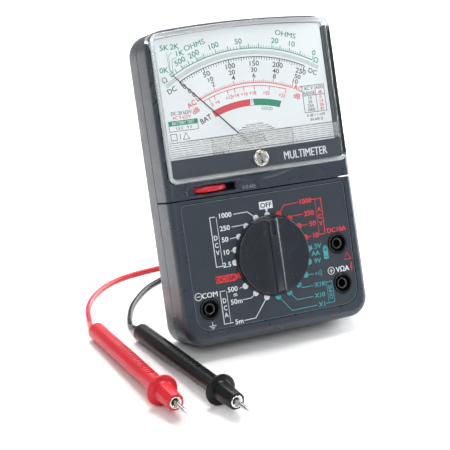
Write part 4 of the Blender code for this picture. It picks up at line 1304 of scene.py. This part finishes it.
def print_selector_legends():
    """Ranges round the knob: white for direct current, red for alternating, teal for ohms."""
    white = Print("legend_white", "ink_white", PLATE_FRONT)
    white.dots(
        (-6, 57), (-11.8, 53.8), (-16.3, 49.3), (-19.2, 43.3), (-20.3, 37.3), (-16.5, 25.3),
        (-11.5, 21), (-6, 18), (0.2, 57.5),
    )
    white.lines(
        [(-17.6, 60.5), (-10.2, 60.6), (-6, 57)], [(-19.4, 54.6), (-12.9, 54.7), (-11.8, 53.8)],
        [(-21.2, 49.1), (-17, 49.3)], [(-21.6, 43.2), (-19, 43.3)], [(-21.6, 37.1), (-20, 37.3)],
        [(-19.8, 24.7), (-16.5, 25.3)], [(-18.8, 18.9), (-14.2, 19.1), (-11.5, 21)],
        [(-19.5, 8.9), (-13.4, 9.1), (-6, 18)],
    )
    labels = (
        ("1000", -18.4, 60.7), ("250", -20.2, 54.6), ("50", -21.9, 49.1), ("10", -22.3, 43.0),
        ("2.5", -22.0, 37.0), ("500", -20.6, 24.9), ("50m", -19.4, 18.8), ("5m", -20.4, 9.0),
    )
    letter, point = 0.95, 0.4  # half a letter's width, and what a decimal point saves
    for word, end, z in labels:
        x = end - letter * len(word) + (point if "." in word else 0)
        white.text(word, x, z, 2.3, squeeze=1.08)
    white.text("m", -22.4, 22.3, 2.0)
    white.bracket(-30.2, -27.4, -26.0, -26.8, 36.7, 60.6)
    white.column("DCV", -28.5, (50.6, 47.0, 43.4))
    white.bracket(-30.2, -27.4, -25.4, -26.8, 9.0, 24.8)
    white.column("DCA", -28.5, (20.2, 16.6, 13.2))
    white.fill([(-3.4, 60.6), (-0.6, 60.6), (0.2, 58.4), (1.0, 60.6), (3.8, 60.6), (3.8, 64.3), (-3.4, 64.3)])
    white.text("COM", -35.6, 24.2, 2.5, squeeze=1.0)
    white.text("VΩA", 37.4, 24.9, 2.5, squeeze=1.0)
    arm = 1.0
    for x, z, plus in ((-41.6, 24.2, False), (30.9, 24.9, True)):
        white.arc((x, z), 1.75, 0, 360, 0.3, 33)
        white.line([(x - arm, z), (x + arm, z)])
        if plus:
            white.line([(x, z - arm), (x, z + arm)])
    earth_x = -36.3
    white.line([(earth_x, 11.2), (earth_x, 9.3)], 0.28)
    for half, z in ((1.9, 9.3), (1.2, 8.6), (0.6, 7.9)):
        white.line([(earth_x - half, z), (earth_x + half, z)], 0.28)
    white.done()

    dark = Print("legend_tags", "ink_black", PLATE_FRONT, PROUD * 2)
    dark.text("OFF", 0.2, 62.45, 2.2, squeeze=1.1)
    dark.text("DC10A", -26.2, 30.5, 2.2, squeeze=1.02)
    dark.done()

    red = Print("legend_red", "ink_red", PLATE_FRONT)
    red.dots((6.5, 57), (12, 54), (16.5, 49.5), (19.2, 43.5), (-18.7, 31.0))
    red.lines(
        [(6.5, 57), (9.9, 61), (17.6, 61.2)], [(12, 54), (14.0, 55.0), (19.6, 55.1)],
        [(16.5, 49.5), (21.4, 49.7)], [(19.2, 43.5), (22.6, 43.7)],
    )
    for word, x, z in (("1000", 21.6, 61.3), ("250", 22.9, 55.1), ("50", 24.2, 49.8), ("10", 24.9, 43.8)):
        red.text(word, x, z, 2.3, squeeze=1.08)
    red.bracket(30.4, 25.2, 26.9, 27.1, 43.8, 61.5)
    red.column("ACV", 28.8, (56.2, 52.6, 49.0))
    red.fill([(-31.4, 28.8), (-21.2, 28.8), (-18.8, 30.4), (-21.2, 32.2), (-31.4, 32.2)])
    red.text("DC10A", 36.9, 44.9, 2.2, squeeze=1.08)
    red.line([(39.1, 29.3), (41.0, 32.4), (42.9, 29.3), (39.1, 29.3), (41.0, 32.4)], 0.3)
    bolt = [(42.2, 22.2), (43.0, 25.4), (42.5, 25.2), (43.2, 27.4), (42.4, 27.4), (41.9, 24.4), (42.4, 24.6)]
    red.fill(bolt)
    red.done()

    teal = Print("legend_teal", "ink_teal", PLATE_FRONT)
    teal.dots((20.2, 37.7), (19.4, 31.3), (16.5, 25.3), (12, 21.2), (6.5, 18.2), (0.2, 17.3))
    teal.lines(
        [(16.5, 25.3), (20.9, 24.9)], [(12, 21.2), (13.9, 19.3), (20.2, 19.3)],
        [(6.5, 18.2), (10.2, 13.9), (19.2, 14.0)], [(0.2, 17.3), (6.6, 9.2), (20.5, 9.3)],
    )
    words = (
        ("1.5V", 24.1, 38.3), ("AA", 23.6, 35.0), ("9V", 24.2, 31.1), ("X1K", 23.8, 19.4),
        ("X10", 22.9, 14.1), ("X1", 23.6, 9.4),
    )
    for word, x, z in words:
        teal.text(word, x, z, 2.2, squeeze=1.05)
    sound = (22.4, 24.9)
    teal.disc(*sound, 0.45)
    for radius in (1.3, 2.2, 3.1):
        teal.arc(sound, radius, 55, 125, 0.26, 9)
    teal.fill(rounded_box(28.0, 30.6, 31.2, 37.2, 0.3))
    teal.fill(rounded_box(28.7, 29.9, 37.2, 38.0, 0.1))
    teal.bracket(30.6, 26.7, 25.4, 27.4, 9.4, 19.8)
    teal.text("OHMS", 29.0, 14.6, 1.9, 90)
    teal.done()

    signs = Print("legend_battery_signs", "legend", PLATE_FRONT, PROUD * 2)
    minus, plus = [(28.5, 32.4), (30.1, 32.4)], [(28.5, 35.9), (30.1, 35.9)]
    signs.lines(minus, plus, [(29.3, 35.1), (29.3, 36.7)], width=0.3)
    signs.done()

    # A pale line round the panel's edge: a painted highlight for the light on the rim of its recess
    inset = 0.15
    rim = PLATE_HALF - inset
    edge = Print("panel_rim_highlight", "highlight_grey", PLATE_FRONT)
    outline = rounded_box(-rim, rim, PLATE_LOW + inset, PLATE_TOP - inset, 7.35, 1.85)
    edge.line(outline + outline[:1], 0.16)
    edge.done()

    title = Print("band_title", "ink_white", LENS_FRONT + LENS_WALL + GAP)
    title.text("MULTIMETER", 25.5, 85.0, 3.9, squeeze=0.73, weight=0.012)
    title.done()

    # Raised marks in the case, painted lighter than it: a painted highlight on them
    marks = Print("head_marks", "highlight_grey", 0.0, 0.08)
    marks.text("0 Ω ADJ", -7.5, 72.6, 1.5)
    marks.done()


DIAL_CENTRE = (0.4, 58.4)  # of the scales' arcs, which isn't the needle's pivot
DC_START, DC_STEP = -26.8, 10.45
AC_START, AC_STEP = -24.6, 9.4
OHMS_R, DC_R, AC_R, DECIBEL_R = 80.7, 76.5, 63.9, 62.4
DIAL_SHIFT = 0.2  # of the scales' words, to the left


def dial_point(radius, angle):
    """A point on the dial, its angle clockwise from straight up."""
    turn = math.radians(angle)
    return (DIAL_CENTRE[0] + radius * math.sin(turn), DIAL_CENTRE[1] + radius * math.cos(turn))


def under_tick(angle, radius):
    """Where the needle's line through a mark of the direct scale meets a nearer arc."""
    mark = Vector(dial_point(DC_R, angle))
    run = (Vector((DIAL_CENTRE[0], PIVOT_Z)) - mark).normalized()
    to_mark = mark - Vector(DIAL_CENTRE)
    along = -run.dot(to_mark) - math.sqrt(run.dot(to_mark) ** 2 - to_mark.length_squared + radius**2)
    return mark + run * along


def tick(layer, radius, length, angle, width):
    layer.line([dial_point(radius, angle), dial_point(radius + length, angle)], width)


def even_scale(layer, radius, start, step, steps, lengths, widths):
    """An arc with five equal steps of ten marks. Lengths are those of each tenth mark, of
    the one midway and of the rest; widths are the arc's, each tenth mark's and the rest's."""
    layer.arc(DIAL_CENTRE, radius, start, start + 5 * step, widths[0], steps)
    for i in range(51):
        length = lengths[0 if i % 10 == 0 else (1 if i % 5 == 0 else 2)]
        tick(layer, radius, length, start + step * i / 10, widths[2 if i % 10 else 1])


def ohms_angle(ohms):
    """The scale is crowded towards high values, with its middle at 50 ohms."""
    return 28.1 * (100 / (ohms + 50) - 1) - 0.4


def print_ohms_scale(green):
    green.arc(DIAL_CENTRE, OHMS_R, -28.3, 27.7, 0.4, 120)
    majors = {0, 5, 10, 15, 20, 30, 40, 50, 70, 100, 150, 200, 300, 500, 1000, 2000}
    minors = set(range(1, 20))
    for first, last, step in ((20, 50, 2), (50, 100, 5), (100, 200, 10), (200, 500, 50)):
        minors.update(range(first, last, step))
    for ohms in sorted(majors | minors):
        length, width = (2.2, 0.4) if ohms in majors else (1.3, 0.27)
        tick(green, OHMS_R, length, ohms_angle(ohms), width)
    for angle in (-28.3, -27.8):
        tick(green, OHMS_R, 2.0, angle, 0.3)
    words = [
        ("5K", -39.5, 143.5, 0), ("2K", -34.2, 143.5, 0), ("1K", -32.2, 140.2, 5), ("500", -32.4, 136.4, 22),
        ("200", -24.8, 139, 20), ("100", -14.2, 141.9, 14), ("50", -0.6, 142.8, 2), ("20", 19.1, 141.3, -10),
        ("10", 27.9, 138.9, -15), ("0", 39.7, 133.3, -25), ("10K", -42, 133, 0),
        ("Ω", 40.3, 129.6, -27), ("Ω", -41.4, 128.2, 25),
    ]
    for word, x, z, turn in words:
        green.text(word, x - DIAL_SHIFT, z, 2.5, turn, 1.1, 0.012)
    green.text("OHMS", -24.1, 143.3, 2.5, 14, 1.15, 0.012)
    green.text("OHMS", 25.1, 143.9, 2.5, -16, 1.15, 0.012)
    leaders = (
        ((-38.5, 141.2), (-38.2, 133), (-37.3, 131.6)),
        ((-35.8, 141), (-37.6, 139.5), (-37.8, 132.5), (-36.9, 131.2)),
        ((-33.7, 138.2), (-36.2, 137.7), (-36.6, 132.5), (-36, 131.5)),
    )
    for points in leaders:
        green.line([(x - DIAL_SHIFT, z) for x, z in points], 0.2)


def print_direct_scale(black):
    even_scale(black, DC_R, DC_START, DC_STEP, 120, (-2.2, -1.8, -1.3), (0.4, 0.45, 0.28))
    for distance, full_scale, height in ((73.3, 250, 2.4), (70.2, 50, 2.2), (67.5, 10, 2.2)):
        for i in range(6):
            angle = DC_START + DC_STEP * i
            x, z = under_tick(angle, distance)
            black.text(str(full_scale // 5 * i), x - DIAL_SHIFT, z, height, -0.8 * angle, 1.1, 0.012)
    black.text("DC", -38.6, 123.2, 2.3, 22, 1.05, 0.012)
    black.text("DC", 37.4, 124.2, 2.3, -26, 1.05, 0.012)


def print_alternating_scales(red):
    """Alternating volts, and the decibels under them."""
    even_scale(red, AC_R, AC_START, AC_STEP, 100, (2.0, 1.6, 1.1), (0.36, 0.4, 0.26))
    marks = (-22.2, -19.4, -16.7, -9.8, -6.2, -1.6, 3.6, 11.2, 19.7)
    red.arc(DIAL_CENTRE, DECIBEL_R, marks[0], marks[-1], 0.34, 80)
    for angle in marks:
        tick(red, DECIBEL_R, -2.0, angle, 0.34)
    decibels = (
        ("0", -19.0), ("+6", -16.2), ("+12", -9.6), ("+14", -6.2), ("+16", -1.6), ("+18", 2.9),
        ("+20", 9.9), ("+22", 18.3),
    )
    for word, angle in decibels:
        x, z = dial_point(58.9, angle)
        red.text(word, x - DIAL_SHIFT, z, 1.75, -angle * 0.9, 0.92, 0.01)
    ends = (
        ("AC", -29.3, 115.6, 26), ("AC", 28.2, 116.9, -23),
        ("dB", -27.7, 112.2, 26), ("dB", 27.0, 113.1, -23),
    )
    for words, x, z, turn in ends:
        red.text(words, x - DIAL_SHIFT, z, 2.5, turn, 1.0, 0.012)


def print_battery_bar(green, black, red):
    """The battery test's bar: red, a gap, and green."""
    low, high = 53.0, 55.9

    def bar(layer, start, end):
        outer = [dial_point(high, a) for a in np.linspace(start - 0.5, end + 0.5, 24)]
        inner = [dial_point(low, a) for a in np.linspace(end, start, 24)]
        layer.fill(outer + inner)

    bar(red, -20.3, 0.3)
    bar(green, 3.2, 17.6)
    for radius in (low, high):
        black.arc(DIAL_CENTRE, radius, -20.8, 18.1, 0.22, 60)
    for angle, lean in ((-20.3, -0.5), (0.5, 0.4), (3.0, -0.4), (17.6, 0.5)):
        black.line([dial_point(low, angle), dial_point(high, angle + lean)], 0.22)
    black.text("?", *dial_point(54.5, 1.75), 1.7, 0, weight=0.008)
    green.text("GOOD", *dial_point(51.4, 10.4), 1.5, -10, weight=0.006)
    black.text("BAT", -23.4, 107.6, 2.5, 22, 0.95, 0.014)


def print_dial_notes(green, black, red):
    """The range table on the right; the sensitivity lines and the outlined box on the left."""
    left, right, low, high = 30.1, 42.4, 104.3, 117.5
    split_x, split_z = 37.4, 112.6
    black.line([(left, low), (left, high), (right, high), (right, low), (left, low), (left, high)], 0.28)
    black.line([(split_x, low), (split_x, high)], 0.26)
    black.line([(left, split_z), (right, split_z)], 0.26)
    middle, side = (left + split_x) / 2, (split_x + right) / 2
    black.text("AC V", middle, 116.2, 1.7, weight=0.01)
    black.text("RANGE", middle, 113.8, 1.7, squeeze=0.8, weight=0.01)
    black.text("ADD", side, 116.2, 1.5, weight=0.01)
    red.text("dB", side, 113.8, 1.6, weight=0.01)
    for i, row in enumerate((("10", "0"), ("50", "14"), ("250", "28"), ("1000", "40"))):
        for layer, word, x in zip((black, red), row, (middle, side)):
            layer.text(word, x, 111.4 - 1.95 * i, 1.5, squeeze=1.05, weight=0.01)
    black.text("0 dB = 1 mW", 36.1, 102.8, 1.4, weight=0.008)
    black.text("IN 600 Ω", 36.1, 100.7, 1.4, weight=0.008)

    black.text("DC 20 kΩ/V", -35.5, 112.1, 1.6, weight=0.01)
    red.text("AC 9 kΩ/V", -35.5, 110.0, 1.6, weight=0.01)
    green.fill(rounded_box(-42.8, -27.6, 106.2, 108.6, 0.3))
    black.line([(-42.7, 106.2), (-42.7, 103.6), (-27.7, 103.6), (-27.7, 106.2)], 0.24)
    black.text("1.5 V    9 V", -35.2, 104.9, 1.4, weight=0.008)
    square = [(-42.4, 99.4), (-42.4, 102.4), (-39.4, 102.4), (-39.4, 99.4)]
    black.line(square + square[:2], 0.26)
    black.line([(-37.6, 99.6), (-37.6, 102.2)], 0.28)
    black.line([(-36.2, 99.4), (-34.6, 102.4), (-33.0, 99.4), (-36.2, 99.4), (-34.6, 102.4)], 0.26)


def print_dial():
    """Scales of the dial: ohms in green, direct current in black, alternating in red."""
    green = Print("dial_green", "ink_green", DIAL_FRONT)
    black = Print("dial_black", "ink_black", DIAL_FRONT)
    red = Print("dial_red", "ink_dial_red", DIAL_FRONT)
    print_ohms_scale(green)
    print_direct_scale(black)
    print_alternating_scales(red)
    print_battery_bar(green, black, red)
    print_dial_notes(green, black, red)
    for layer in (green, black, red):
        layer.done()
    tags = Print("dial_tags", "dial_white", DIAL_FRONT, PROUD * 2)
    tags.text("BATTERY TEST", -35.2, 107.4, 1.5, squeeze=0.8, weight=0.006)
    tags.done()
    mirror = Print("dial_mirror", "mirror", DIAL_FRONT)
    mirror.arc(DIAL_CENTRE, 78.6, -32.0, 31.0, 2.0, 120)
    mirror.done()


# ---------------------------------------------------------------- everything

INNER_LOOKS = {"front_bridge": "shroud_grey", "zero_arm": "shroud_grey"}


def dress_inner_nodes():
    """The CAD's own solids that stay, inside the case, get the looks of their materials."""
    for node in frame["nodes"].values():
        if not node.hide_render:
            slot = node.data.materials[0].name.split(".")[0]
            node.data.materials.clear()
            node.data.materials.append(FINISHES[INNER_LOOKS.get(node.name, slot)])


for build in (
    build_camera, build_leads, build_front_shell, build_head, build_rear_shell, build_stand,
    build_knob, build_jacks, build_wheel, build_lens, build_seal, build_dial, build_shroud,
    build_needle, build_zero_screw, print_selector_legends, print_dial, dress_inner_nodes, build_room,
):
    build()
